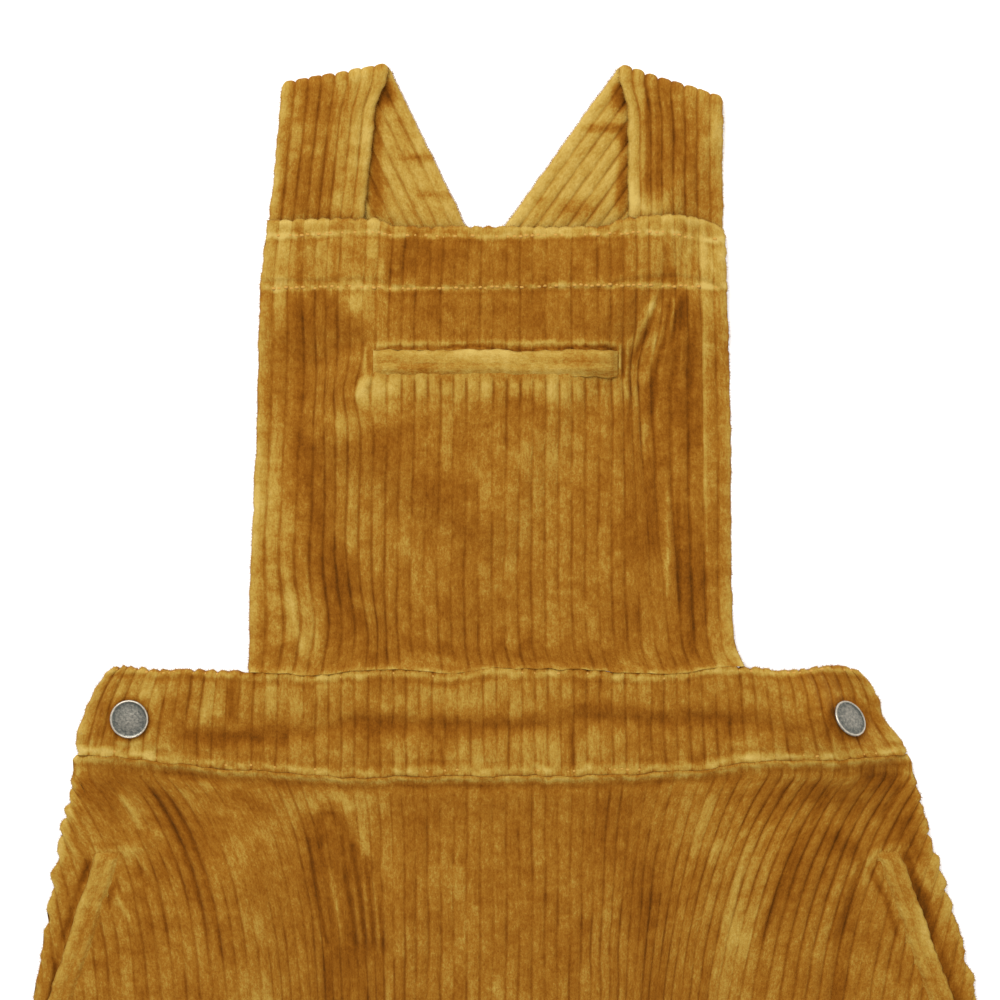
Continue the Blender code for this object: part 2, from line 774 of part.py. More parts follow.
def column_top(at_waist):
    """Where a wale's column starts: at the waistband, or lower, on the skirt's side edge."""
    side = 1 if at_waist > 0 else -1
    from_band = waist_bottom(at_waist) + WAIST_SEAM_HALF
    if abs(at_waist) <= abs(skirt_side(side, from_band)):
        return from_band

    def inside(down):
        return side * (skirt_side(side, down) - wale_across(at_waist, down))

    return solve(inside, from_band, SHOULDER_TO_HEM)


def column_hem(at_waist):
    return hem_down(wale_across(at_waist, SHOULDER_TO_HEM))


def skirt_columns():
    """(place along the waist, crest): two for each wale, out to the hem's corners."""
    columns = []
    for side in (-1, 1):
        last = solve(lambda place: column_top(side * place) + SHORTEST_COLUMN
                     - column_hem(side * place), NARROWEST_WAIST, WIDEST_WAIST)
        count = int(last / (WALE_PITCH / 2))
        edge = [(side * index * WALE_PITCH / 2, index % 2) for index in range(1, count + 1)]
        edge.append((side * last, 0))
        columns.append(edge)
    return columns[0][::-1] + [(0.0, 0)] + columns[1]


def skirt_place(at_waist, row):
    top = column_top(at_waist)
    down = mix(top, column_hem(at_waist), row)
    side = 1 if at_waist > 0 else -1
    if column_hem(at_waist) - top < SHORTEST_COLUMN + COLUMN_SLACK:
        return skirt_side(side, down), down
    return wale_across(at_waist, down), down


def inside_skirt(across, down):
    """Distance in from the skirt's side edge."""
    return abs(skirt_side(1 if across > 0 else -1, down)) - abs(across)


def skirt_loft(across, down):
    """Soft folds that open towards the hem, flat at the side edges."""
    below = down - waist_bottom(across)
    share = min(max(below / (SHOULDER_TO_HEM - waist_bottom(0.0)), 0.0), 1.0)
    height = 0.0
    for fold in FOLDS:
        middle = mix(fold.waist, fold.hem, share)
        width = mix(fold.narrow, fold.wide, share)
        grown = ramp((below - fold.starts) / LOFT_GROWS)
        height += fold.height * grown * bell(across - middle, width)
    return height * ramp(inside_skirt(across, down) / LOFT_SIDE)


def under_skirt(across, down):
    """Height of the front skirt's inside."""
    below = max(down - waist_bottom(across), 0.0)
    seam = max(under_band(across, waist_bottom(across)) - SKIRT_UNDER, 0.0)
    seam *= mix(SIDE_SEAM_LEFT, 1.0, ramp(inside_skirt(across, down) / SIDE_SEAM_GROWS))
    return SKIRT_UNDER + seam * bell(below, SEAM_SETTLES) + skirt_loft(across, down)


def skirt_surface(across, down, crest):
    """Height of the front skirt's outer face, with the turned hem's stitch line pressed in."""
    above_hem = hem_down(across) - down
    pressed = HEM_PRESS_DEPTH * bell(above_hem - SKIRT_TURNED_HEM, HEM_PRESS_HALF)
    return under_skirt(across, down) + CLOTH + WALE_HEIGHT * crest - pressed


def make_front_skirt():
    def outer(column, row):
        at_waist, crest = column
        across, down = skirt_place(at_waist, row)
        low = under_skirt(across, down)
        height = low + (skirt_surface(across, down, crest) - low) * rolled(0.5, row)
        return across, down, height

    def inner(column, row):
        across, down = skirt_place(column[0], row)
        return across, down, under_skirt(across, down)

    return panel("skirt_front", CORDUROY, skirt_columns(), SKIRT_ROWS, outer, inner)


def make_back_skirt():
    columns = shares(BACK_SKIRT_COLUMNS)
    rows = shares(BACK_SKIRT_ROWS)

    def place(column, row):
        side = -1 if column < 0.5 else 1
        out = abs(2 * column - 1)
        down = mix(BACK_BAND.bottom + SEAM_GAP, SHOULDER_TO_HEM - SKIRT_HEM_RISE, row)
        across = side * out * (abs(skirt_side(side, down)) - BACK_INSET)
        trim = hem_down(across) - (SHOULDER_TO_HEM - SKIRT_HEM_RISE) - BACK_INSET
        return across, down + trim * row

    def outer(column, row):
        across, down = place(column, row)
        return across, down, BACK_CLOTH

    def inner(column, row):
        across, down = place(column, row)
        return across, down, 0.0

    return panel("skirt_back", CORDUROY, columns, rows, outer, inner, row_step=1)


# Welts: strips laid on a panel, made from its outer face moved out -----------------------------

WELT_WALES = 2
WELT_CLEARS_ACROSS = (-4.0, 4.0)          # the panel's highest place this near is cleared
WELT_CLEARS_DOWN = (-9.0, 0.0, 9.0)
BIB_WELT_STEPS = 24
HIP_WELT_STEPS = 16


def make_welt(name, corner, surface, length_steps):
    """corner(share_along, share_across) gives the place; wales run along the strip."""
    columns = shares(length_steps)
    rows = shares(2 * WELT_WALES)

    def lift(across, down):
        near = [surface(across + x, down + y, 1.0)
                for x in WELT_CLEARS_ACROSS for y in WELT_CLEARS_DOWN]
        return max(near) + SEAM_GAP

    def outer(column, row):
        across, down = corner(column, row)
        crest = round(row * 2 * WELT_WALES) % 2
        thick = WELT_CLOTH - WALE_HEIGHT / 2 + WALE_HEIGHT * crest
        return across, down, lift(across, down) + thick * rolled(column, row)

    def inner(column, row):
        across, down = corner(column, row)
        return across, down, lift(across, down)

    return panel(name, CORDUROY, columns, rows, outer, inner, column_step=1, row_step=1)


def make_bib_welt():
    def corner(along, over):
        return mix(BIB_WELT.left, BIB_WELT.right, along), mix(BIB_WELT.top, BIB_WELT.bottom, over)

    return make_welt("bib_pocket_welt", corner, bib_surface, BIB_WELT_STEPS)


def make_hip_welt(side):
    welt = HIP_WELTS[side]
    inward = 1 if side == "left" else -1

    def corner(along, over):
        down = mix(welt.top_down, welt.end_down, along)
        across = mix(welt.top_across, welt.end_across, along)
        return across + inward * HIP_WELT_WIDTH * (over - 0.5), down

    return make_welt("hip_pocket_welt_" + side, corner, skirt_surface, HIP_WELT_STEPS)


# Snap caps -----------------------------------------------------------------------------------

CapRing = namedtuple("CapRing", "radius height")
CAP_PROFILE = (
    CapRing(radius=0.92, height=0.0),
    CapRing(radius=1.0, height=0.35),
    CapRing(radius=0.97, height=1.05),
    CapRing(radius=0.87, height=1.3),
    CapRing(radius=0.78, height=1.0),
    CapRing(radius=0.4, height=1.2),
)
CAP_CENTRE_HEIGHT = 1.3
CAP_SIDES = 28
CAP_TILT_REACH = 0.7      # share of the radius over which the band's slope is taken
CAP_TEST_RINGS = (0.0, 0.5, 1.0)
CAP_TEST_TURNS = 12


def ring_angles(count):
    return [2 * math.pi * turn / count for turn in range(count)]


def cap_seat(across, down):
    """Height of the wales that a cap sits on."""
    return band_surface(across, down, 1.0)


def cap_plane(snap):
    """A plane square to the band, as place(along, over, lift), and the lift that clears it."""
    near = SNAP_RADIUS * CAP_TILT_REACH
    slope_across = (cap_seat(snap.across + near, snap.down)
                    - cap_seat(snap.across - near, snap.down)) / (2 * near)
    slope_down = (cap_seat(snap.across, snap.down + near)
                  - cap_seat(snap.across, snap.down - near)) / (2 * near)
    size = math.sqrt(1 + slope_across ** 2 + slope_down ** 2)
    normal = (-slope_across / size, -slope_down / size, 1 / size)
    flat = math.hypot(1.0, slope_across)
    first = (1 / flat, 0.0, slope_across / flat)
    second = (normal[1] * first[2] - normal[2] * first[1],
              normal[2] * first[0] - normal[0] * first[2],
              normal[0] * first[1] - normal[1] * first[0])
    centre = (snap.across, snap.down, cap_seat(snap.across, snap.down))

    def place(along, over, lift):
        return tuple(centre[k] + first[k] * along + second[k] * over + normal[k] * lift
                     for k in range(3))

    # The cap is raised until its back clears the face below it everywhere.
    clearance = SEAM_GAP
    for ring in CAP_TEST_RINGS:
        for angle in ring_angles(CAP_TEST_TURNS):
            radius = SNAP_RADIUS * ring
            point = place(radius * math.cos(angle), radius * math.sin(angle), 0.0)
            below = (cap_seat(point[0], point[1]) - point[2]) * normal[2]
            clearance = max(clearance, below + SEAM_GAP)
    return place, clearance


def make_snap(side):
    """A plain pressed cap with a raised rim, set square to the band's outer face."""
    place, clearance = cap_plane(SNAPS[side])
    points = [place(0.0, 0.0, clearance)]
    for ring in CAP_PROFILE:
        radius = SNAP_RADIUS * ring.radius
        lift = clearance + ring.height
        points.extend(place(radius * math.cos(angle), radius * math.sin(angle), lift)
                      for angle in ring_angles(CAP_SIDES))
    points.append(place(0.0, 0.0, clearance + CAP_CENTRE_HEIGHT))
    faces = []
    for turn in range(CAP_SIDES):
        following = (turn + 1) % CAP_SIDES
        faces.append((0, 1 + following, 1 + turn))
        for ring in range(len(CAP_PROFILE) - 1):
            start = 1 + ring * CAP_SIDES
            faces.append((start + turn, start + following,
                          start + CAP_SIDES + following, start + CAP_SIDES + turn))
        last = 1 + (len(CAP_PROFILE) - 1) * CAP_SIDES
        faces.append((last + turn, last + following, len(points) - 1))
    return add_object("snap_" + side, points, faces, STEEL)


# The dress -----------------------------------------------------------------------------------

def clear_scene():
    for item in list(bpy.data.objects):
        bpy.data.objects.remove(item, do_unlink=True)


def make_dress():
    clear_scene()
    make_back_skirt()
    make_back_band()
    for side in STRAPS:
        make_strap(side)
    make_front_skirt()
    make_front_band()
    make_bib()
    make_bib_welt()
    for side in HIP_WELTS:
        make_hip_welt(side)
    for side in SNAPS:
        make_snap(side)


make_dress()
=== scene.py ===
"""The looks of a child's corduroy pinafore dress, laid flat and face up.

Lengths are millimetres until a mesh is written. A place on the garment is (across, down): across
to the right of the centre line, down from the shoulder folds towards the hem. Creases, the light
and dark of the nap and the painted light and shade on folds, ridges and hollows are placed by
their pixels in the photograph, through on_dress().
"""
import math
from collections import namedtuple

import bmesh
import bpy
import numpy as np
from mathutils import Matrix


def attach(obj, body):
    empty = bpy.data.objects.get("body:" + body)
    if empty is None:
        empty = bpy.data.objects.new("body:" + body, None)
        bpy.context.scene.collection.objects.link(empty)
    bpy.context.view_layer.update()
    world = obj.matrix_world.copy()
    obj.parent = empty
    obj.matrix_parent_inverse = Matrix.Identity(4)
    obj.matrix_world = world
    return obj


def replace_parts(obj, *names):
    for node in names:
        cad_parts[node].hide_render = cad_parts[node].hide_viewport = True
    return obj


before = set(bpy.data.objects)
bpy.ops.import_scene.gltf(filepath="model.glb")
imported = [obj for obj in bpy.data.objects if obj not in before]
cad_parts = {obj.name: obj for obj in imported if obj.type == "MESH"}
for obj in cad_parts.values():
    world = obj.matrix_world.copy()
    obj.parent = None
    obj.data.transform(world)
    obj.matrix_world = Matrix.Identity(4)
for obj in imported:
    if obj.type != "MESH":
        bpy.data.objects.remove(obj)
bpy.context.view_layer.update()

Step = namedtuple("Step", "start span")    # a soft step starts at one place and ends a span on


def table(kind, rows):
    """Rows of numbers whose columns have the names that kind gives them."""
    return [kind(*row) for row in rows]


# The garment's own sizes, as its solids have them -------------------------------------------------

MM = 0.001
SEAM_GAP = 0.3
SHOULDER_TO_HEM = 608.8
ORIGIN_DOWN = 304.4
CLOTH = 1.1
WALE_HEIGHT = 0.8
WALE_PITCH = 5.1
BAND_CLOTH = 2.8
BACK_CLOTH = 1.8
BACK_BAND_CLOTH = 3.6
BIB_WALES = 36
BIB_HEM = 23.4
BIB_HEM_EXTRA = 0.7
WAISTBAND_WALES = 62
SKIRT_HEM_HALF_WIDTH = 228.0
SKIRT_HEM_RISE = 9.0
SKIRT_TURNED_HEM = 25.0
STRAP_WIDTH = 40.4
STRAP_WALES = 8
STRAP_CLOTH = 2.3
STRAP_RIB = 0.7
STRAP_FOLD = 1.65
SNAP_RADIUS = 7.5

# How the cloth's fine surface is made -------------------------------------------------------------

WALE_STEPS = (0.0, 0.06, 0.14, 0.27, 0.42, 0.58, 0.73, 0.86, 0.94)   # places across one wale
GROOVE_SINKS = 0.25       # a groove is this much deeper than in the solids
EDGE_ROUND = 2.0          # a turned edge is rounded over this width
EDGE_LEFT = 0.3           # the share of the thickness left at the very edge
FUZZ = 0.15               # height of the pile's small lumps
WOBBLE = 0.36             # a wale wanders sideways by this much
SCALLOP = 1.1             # a wale's end sticks out past a groove's by this much
FRAY = 0.45               # a side edge wanders in and out by this much
CLOSED_SEAM = 0.02        # the pile fills the seams between panels down to this gap
BIB_SEAM_LEFT = 0.97      # the share of the thickness left where the bib meets the waistband
SKIRT_SEAM_LEFT = 0.86    # and where the skirt does, less in places
SEAM_FILLS_OUT = Step(start=112.0, span=16.0)      # outwards, its dark line goes
SEAM_WAVER = 0.6          # a seam wanders from its line by this much
RIM_LIGHT = 0.24          # a painted highlight beside each groove, where the pile catches light
LEAST_OPEN = 0.04         # how clearly a groove shows, from closed over by the pile
MOST_OPEN = 1.2           # to wider open than usual
CLOSED_GROOVE = 0.06      # the share of a wale's height that is left beside a closed groove
KEEPS_TO_WALES = 0.7      # how much a patch's side edges follow whole wales
DEEPEST_CREASE = 0.9      # on a panel, so that it stays clear of the layer below
DEEPEST_STRAP_CREASE = 0.6
BACK_INSET = 3.2          # the back skirt ends this far inside the front one's edge

# The photograph -----------------------------------------------------------------------------------

PIXEL = 0.39              # millimetres of garment in one of its pixels
CENTRE_X = 493            # the pixel column of the centre line
SHOULDER_Y = 65           # the pixel row of the shoulder folds
PHOTO_PIXELS = 1000

# Tables that repeat the solids' form --------------------------------------------------------------

BibSection = namedtuple("BibSection", "down left right")
BIB_SIDES = table(BibSection, (
    (60, -88.1, 90.4), (92, -91.0, 91.3), (140, -92.5, 93.0), (200, -94.9, 93.2), (226, -95.2, 94.8),
    (236, -95.5, 99.0),
))
BibTop = namedtuple("BibTop", "across down")
BIB_TOP = table(BibTop, (
    (-88, 60.4), (-46, 60.0), (-37, 63.0), (42, 63.2), (50, 60.4), (70, 58.4), (84, 60.6),
    (91, 64.6),
))
BIB_LENGTH = 173.0
BIB_REST = 9.0
BIB_SAG = 26.0
BIB_SLACK = 0.4
BIB_LEAVES_WAIST = Step(start=1.0, span=26.0)      # up from the waistband
BIB_HEM_EDGE = Step(start=-0.4, span=1.2)          # down, past the turned hem

WaistSection = namedtuple("WaistSection", "across top bottom")
WAIST = table(WaistSection, (
    (-164, 236.4, 268.8), (-149, 234.8, 269.1), (-124, 235.3, 272.6), (-98, 236.5, 274.8),
    (-73, 238.0, 276.4), (-49, 235.6, 278.0), (-21, 236.8, 276.9), (5, 235.4, 277.0),
    (31, 236.0, 277.0), (66, 237.2, 275.9), (86, 235.1, 274.4), (98, 234.3, 272.0),
    (113, 235.9, 271.0), (135, 234.4, 270.0), (142, 236.2, 269.6), (165, 240.0, 268.6),
))
WaistEnd = namedtuple("WaistEnd", "share left right")
WAIST_ENDS = table(WaistEnd, (
    (0.0, -149.6, 144.2), (0.25, -155.2, 150.2), (0.5, -159.6, 152.4), (0.8, -162.6, 158.4),
    (1.0, -163.8, 163.0),
))
SkirtSection = namedtuple("SkirtSection", "down left right")
SKIRT_SIDES = table(SkirtSection, (
    (268, -163.4, 163.2), (284, -164.8, 166.2), (298, -168.4, 169.8), (322, -171.9, 177.0),
    (340, -174.9, 182.4), (420, -189.0, 201.0), (520, -210.5, 216.5), (599.8, -228.0, 228.0),
))
Lean = namedtuple("Lean", "shift over")
LEANS = {-1: Lean(shift=32.0, over=37.0), 1: Lean(shift=40.0, over=56.0)}
LEAN_STARTS = 20.0
LEAN_ENDS = 133.0
SHORTEST_COLUMN = 6.0     # a wale that would be shorter isn't made
COLUMN_SLACK = 0.01
NARROWEST_WAIST = 150.0   # the outermost wale would start between these places along the waist
WIDEST_WAIST = 300.0
Fold = namedtuple("Fold", "waist hem starts narrow wide height")
FOLDS = table(Fold, (
    (-96, -128, 4, 17, 30, 3.8), (-38, -30, 16, 9, 19, 3.4), (16, 34, 96, 8, 24, 2.4),
    (72, 92, 24, 8, 15, 2.6), (110, 146, 8, 12, 26, 4.2),
))
Strap = namedtuple("Strap", "foot_across foot_down fold_across fold_down fold_rises curves over")
STRAPS = {
    "left": Strap(-70.2, 88.0, -61.8, 6.7, 10.0, 0.0, False),
    "right": Strap(70.0, 88.0, 69.4, 9.6, -17.6, 26.0, True),
}
STRAP_CURVE_DOWN = 110.0
STRAP_END_DOWN = 233.0
STRAP_CROSSING_HALF = 42.0     # along the upper strap, the stretch that lies on the lower one
STRAP_CROSSING_SLOPE = 24.0
FRONT_RUN_SINKS = Step(start=1.0, span=16.0)       # away from the back run under it
OUTER_RIBS_FADE = Step(start=0.375, span=0.625)    # shares of the turn at the shoulder
INNER_RIBS_GROW = Step(start=0.95, span=0.05)
SHORTEST_BACK_RUN = 20.0
LONGEST_BACK_RUN = 400.0
BARELY_BENT = 1e-6        # the bend at which a column counts as having met the fold
HipWelt = namedtuple("HipWelt", "top_across top_down end_across end_down")
HIP_WELTS = {
    "left": HipWelt(-149.4, 306.4, -174.6, 384.0),
    "right": HipWelt(153.4, 306.2, 181.6, 384.0),
}
HIP_WELT_WIDTH = 10.4
WELT_CLOTH = 1.5
BibWelt = namedtuple("BibWelt", "left right top bottom")
BIB_WELT = BibWelt(left=-46.6, right=48.6, top=111.4, bottom=121.8)
BackBand = namedtuple("BackBand", "left right top bottom")
BACK_BAND = BackBand(left=-146.0, right=121.0, top=238.8, bottom=267.0)
Snap = namedtuple("Snap", "across down")
SNAPS = {"left": Snap(-141.2, 254.7), "right": Snap(137.8, 254.7)}
ROLL_HEIGHT = 10.8
ROLL_SLANT = 42.0
ROLL_REACH = 15.0
ROLL_MIDDLE = 252.0
ROLL_HALF_LENGTH = 26.0
ROLL_RISES = Step(start=92.0, span=40.0)           # across
LEFT_END_HEIGHT = 2.4
LEFT_END_RISES = Step(start=100.0, span=34.0)      # across, to the left
LEFT_END_FALLS = Step(start=148.0, span=16.0)
END_LOWEST = 0.6
END_OVER_SKIRT = 0.2      # over the back skirt's gap, where the ends meet it
END_MEETS_SKIRT = Step(start=252.0, span=10.0)     # down
RIGHT_END_FALLS = Step(start=1.0, span=9.0)        # along the roll's fall
RIGHT_END_PAST = Step(start=3.0, span=8.0)         # across, past the back band
LEFT_END_PAST = Step(start=3.0, span=12.0)
BAND_UNDER = BACK_BAND_CLOTH + SEAM_GAP
BAND_DEPTH = 38.0
BAND_TOP_FREE = Step(start=94.0, span=3.0)         # outwards, where the bib no longer covers it
BIB_ENDS_LEFT = -95.0     # across, on the waistband's top edge
BIB_ENDS_RIGHT = 97.0
BAND_CREASE_DOWN = 258.0
BAND_CREASE_DEPTH = 0.5
BAND_CREASE_HALF = 4.5
BAND_CREASE_FADES = Step(start=95.0, span=30.0)    # outwards
SKIRT_UNDER = BACK_CLOTH + SEAM_GAP
LOFT_GROWS = 45.0         # a fold grows to its full height over this much
LOFT_SIDE = 14.0          # and goes flat over this much at the side edges
SEAM_SETTLES = 14.0       # below the waistband, the height of its seam is lost over this much
SIDE_SEAM_LEFT = 0.35     # the share of the seam's height left at the side edge
SIDE_SEAM_GROWS = 10.0
HEM_PRESS_DEPTH = 0.35    # the hem's stitch line is pressed in
HEM_PRESS_HALF = 2.5

# Nap, painted light and shade, and creases --------------------------------------------------------
# x, y, wide, long, width, bow and shift are pixels of the photograph; wide and long are half
# sizes. tone is 0 for the cloth's middle colour, 1 for brushed light and -1 for brushed dark; the
# tones are partly the nap and partly painted light and shade: painted shade in folds, hollows,
# seams and pocket mouths, and painted light on ridges and lumps. lean is in degrees, positive
# when the lower end is to the right. A crease raises or, below 0, presses in the cloth along a
# line, by millimetres, and its tone is partly the nap and partly painted shade along a trough and
# painted light along a ridge; bow is how far its middle strays. A pull draws wales aside. Places
# below the photograph's edge are guessed.

Patch = namedtuple("Patch", "x y wide long tone lean", defaults=(0.0,))
Crease = namedtuple("Crease", "x y to_x to_y width rise tone bow", defaults=(0.0,))
CREASE_END = Step(start=-0.08, span=0.24)          # shares of a crease's length
PATCH_EDGE = 1.6          # a patch's edge is crisper for a higher power
Pull = namedtuple("Pull", "x y wide long shift")
SeamPoint = namedtuple("SeamPoint", "x y")

BIB_PATCHES = table(Patch, (
    # the turned top hem
    (281, 258, 19, 40, 1.3), (320, 254, 17, 34, 1.1), (354, 262, 18, 30, 0.75),
    (378, 250, 11, 30, 0.75), (432, 262, 42, 22, -0.7), (408, 264, 20, 20, -0.35),
    (560, 263, 88, 20, -0.45), (562, 271, 20, 9, -0.3), (655, 255, 26, 36, 0.85),
    (690, 250, 20, 36, 0.75), (712, 258, 16, 42, 1.1), (330, 226, 70, 10, 0.4),
    (540, 228, 120, 9, 1.0), (618, 254, 12, 24, 0.2),
    # under it
    (276, 305, 13, 24, 0.95), (318, 313, 30, 15, -0.85), (500, 316, 132, 22, -0.4),
    (352, 300, 12, 10, 0.4), (652, 308, 7, 11, 1.1, 20), (681, 308, 8, 20, -1.0),
    (712, 304, 16, 16, 0.6),
    # round the pocket
    (480, 380, 130, 18, 0.3), (350, 338, 12, 16, -0.5), (345, 392, 12, 14, -0.5),
    (520, 404, 60, 8, -0.25),
    # the left side, with its long slanting shade
    (270, 500, 18, 66, 0.7), (264, 500, 12, 28, 0.5), (343, 425, 9, 18, 0.8),
    (350, 490, 11, 60, 0.45), (385, 545, 30, 42, 0.35), (305, 628, 20, 42, 0.8, 14),
    (366, 606, 20, 5, 0.5, -65), (270, 655, 26, 9, -0.5),
    # the middle
    (388, 452, 32, 28, -0.65), (470, 443, 22, 12, -0.5), (432, 505, 60, 34, -0.35),
    (470, 540, 22, 40, -0.3), (440, 655, 70, 9, -0.75), (560, 651, 70, 11, -0.6),
    (600, 425, 8, 11, 0.75), (540, 560, 30, 40, 0.15), (595, 400, 44, 10, 0.35),
    (520, 470, 20, 46, 0.15),
    # the right side
    (643, 520, 26, 62, -1.05, -6), (668, 545, 6, 50, 0.3), (689, 575, 16, 92, -1.0),
    (688, 400, 16, 80, -0.85), (695, 643, 9, 16, -0.5), (706, 400, 5, 100, 0.6),
    (722, 500, 14, 130, 0.1), (648, 438, 9, 14, 0.65), (662, 400, 20, 40, -0.5),
    (728, 640, 12, 26, 0.5),
))
BIB_CREASES = table(Crease, (
    # the long slanting shade on the left
    (298, 300, 299, 450, 9, -0.2, -1.15), (300, 440, 318, 524, 12, -0.1, -0.95),
    (316, 515, 345, 604, 17, -0.1, -0.8), (342, 592, 390, 662, 20, -0.1, -0.65),
    # pulls between the pocket and the right strap
    (660, 294, 633, 362, 2.6, -0.9, -1.5, 2), (651, 300, 628, 350, 3.6, 0.7, 0.7, 2),
    (671, 290, 652, 384, 2.6, -0.8, -1.4, 3), (664, 316, 642, 388, 4.0, 0.6, 0.6, 2),
    (683, 292, 671, 388, 2.6, -0.7, -1.2, 2), (656, 372, 648, 450, 2.6, -0.6, -1.0, 1),
    (694, 300, 693, 392, 2.4, -0.5, -1.0), (634, 366, 628, 440, 2.6, -0.5, -0.8),
    (664, 240, 672, 282, 2.4, -0.5, -0.8), (684, 222, 680, 280, 2.2, -0.4, -0.7),
    (694, 226, 692, 290, 2.4, -0.4, -0.7), (709, 224, 709, 276, 2.2, -0.4, -0.7),
    (682, 296, 670, 350, 2.6, -0.5, -0.6), (622, 378, 630, 402, 3.0, 0.4, 0.6),
    (703, 320, 706, 560, 2.0, 0.5, 1.1), (680, 330, 683, 380, 1.8, 0.4, 0.8),
    (675, 296, 671, 330, 1.8, 0.5, 1.1), (656, 330, 652, 366, 2.0, 0.4, 0.9),
    (690, 340, 692, 420, 1.8, -0.4, -0.8), (662, 350, 661, 384, 1.8, 0.4, 0.9),
    (671, 340, 671, 388, 1.6, 0.4, 0.6), (668, 484, 667, 600, 2.0, 0.5, 1.0),
    (678, 470, 680, 620, 2.0, -0.5, -1.0), (373, 378, 352, 400, 5.0, 0.7, 0.8, -2),
    (364, 372, 346, 392, 3.0, -0.5, -0.6),
    # over the edges of the straps behind the hem
    (389, 224, 389, 288, 4.0, -0.5, -0.7), (668, 226, 664, 284, 3.0, -0.3, -0.4),
    (299, 222, 299, 286, 3.0, -0.3, -0.8), (334, 240, 335, 286, 2.4, -0.3, -0.6),
    # low on the bib
    (333, 539, 366, 661, 4.0, -0.4, -0.4, 3), (345, 598, 398, 616, 4.0, 0.5, 0.5),
    (283, 560, 302, 655, 3.4, 0.5, 0.6), (305, 560, 318, 650, 3.4, 0.4, 0.6),
    (270, 540, 282, 655, 3.4, 0.3, 0.4), (656, 296, 642, 330, 4.0, 0.6, 0.9, 1),
    (690, 600, 693, 660, 3.0, -0.4, -0.6), (735, 652, 747, 667, 3.0, 0.5, 0.5),
    (478, 560, 500, 588, 4.0, 0.4, 0.3), (356, 440, 410, 436, 5.0, -0.3, -0.4, 2),
    # the lumpy rim over the pocket, with painted light, and the painted shadow lines under it and
    # beside the welt's ends
    (374, 347, 412, 345, 3.2, 0.6, 1.0, 1), (408, 345, 452, 343, 3.4, 0.7, 1.2, 1),
    (446, 344, 506, 342, 3.2, 0.6, 1.1, 1), (500, 343, 560, 343, 3.0, 0.7, 1.2, -1),
    (556, 343, 622, 345, 3.4, 0.6, 1.1, 1), (420, 338, 600, 337, 3.0, -0.2, -0.4),
    (380, 350, 432, 349, 1.2, -0.4, -1.0, 1), (440, 347, 500, 350, 1.4, -0.4, -1.6, 1),
    (496, 350, 560, 349, 1.3, -0.4, -1.5, -1), (556, 349, 619, 349, 1.5, -0.5, -1.9, 1),
    (370, 350, 371, 372, 1.6, -0.4, -0.8, -2), (624, 350, 624, 378, 1.5, -0.6, -1.5),
    (620, 344, 620, 372, 1.5, 0.8, 2.0), (366, 346, 365, 376, 1.6, 0.3, 0.7),
    (628, 340, 626, 384, 2.0, 0.3, 0.7),
))
BIB_PULLS = table(Pull, (
    (656, 366, 24, 38, -10), (660, 420, 24, 50, -9), (664, 490, 26, 70, -7), (668, 262, 10, 20, 3),
    (360, 392, 26, 24, -7), (302, 375, 22, 90, 7), (290, 625, 28, 46, 10), (330, 625, 26, 50, 10),
    (360, 640, 22, 40, 8), (312, 520, 28, 60, 6),
))
PocketRow = namedtuple("PocketRow", "left right down long")
POCKET_ROW = PocketRow(left=-56.0, right=62.0, down=126.0, long=5.4)     # wales start afresh here
BIB_GROOVES = table(Patch, (
    (500, 316, 132, 24, -0.3), (440, 500, 56, 60, -0.25), (646, 545, 24, 60, -0.35),
    (326, 375, 26, 90, 0.3), (375, 540, 38, 90, 0.3), (295, 595, 46, 80, 0.55),
    (505, 390, 150, 13, 0.3), (665, 330, 40, 60, 0.2), (495, 376, 150, 4, -0.9),
    (480, 262, 130, 22, -0.1), (690, 520, 22, 130, 0.25), (560, 600, 60, 60, 0.1),
))
BIB_UPPER_ROW = table(SeamPoint, (
    (262, 236), (300, 236), (345, 234), (372, 233), (396, 236), (480, 237), (600, 235), (660, 233),
    (692, 238), (730, 241),
))
BIB_LOWER_ROW = table(SeamPoint, (
    (260, 288), (300, 288), (345, 287), (400, 289), (500, 288), (600, 286), (660, 286), (730, 287),
))

BAND_PATCHES = table(Patch, (
    (120, 748, 60, 10, 1.0), (135, 688, 30, 16, 0.95), (96, 715, 12, 34, 0.35, -24),
    (168, 708, 8, 18, -0.6), (208, 705, 12, 24, 0.6), (232, 700, 7, 22, -0.9),
    (268, 698, 32, 20, 0.55), (215, 738, 38, 9, -0.9), (282, 731, 42, 9, -0.9),
    (372, 724, 32, 13, -1.2), (440, 724, 46, 11, -0.8), (490, 728, 16, 9, -0.7),
    (530, 724, 34, 9, -0.8), (600, 711, 48, 11, -1.0), (680, 716, 44, 10, -0.8),
    (735, 722, 34, 16, -0.85), (800, 725, 30, 12, -0.4), (640, 742, 24, 14, -0.3),
    (360, 695, 16, 14, -0.35), (420, 697, 60, 12, 0.5), (520, 695, 50, 18, 0.55),
    (465, 755, 26, 16, 0.65), (540, 757, 22, 16, 0.55), (592, 748, 12, 24, 0.6),
    (350, 755, 14, 14, 0.5), (290, 755, 30, 10, 0.3), (765, 757, 30, 9, 0.7),
    (840, 752, 22, 10, 0.45), (785, 695, 40, 14, 0.15), (870, 690, 10, 20, 0.45),
    (884, 742, 16, 14, 0.6), (825, 690, 20, 14, -0.2), (570, 748, 8, 20, -0.6),
    (648, 690, 22, 12, 0.2), (505, 664, 240, 8, 0.2),
))
BAND_GROOVES = table(Patch, (
    (280, 735, 110, 12, -0.3), (600, 714, 170, 14, -0.25), (400, 690, 120, 16, 0.1),
    (100, 720, 40, 40, 0.25), (800, 700, 60, 36, 0.15), (470, 755, 190, 14, 0.1),
))
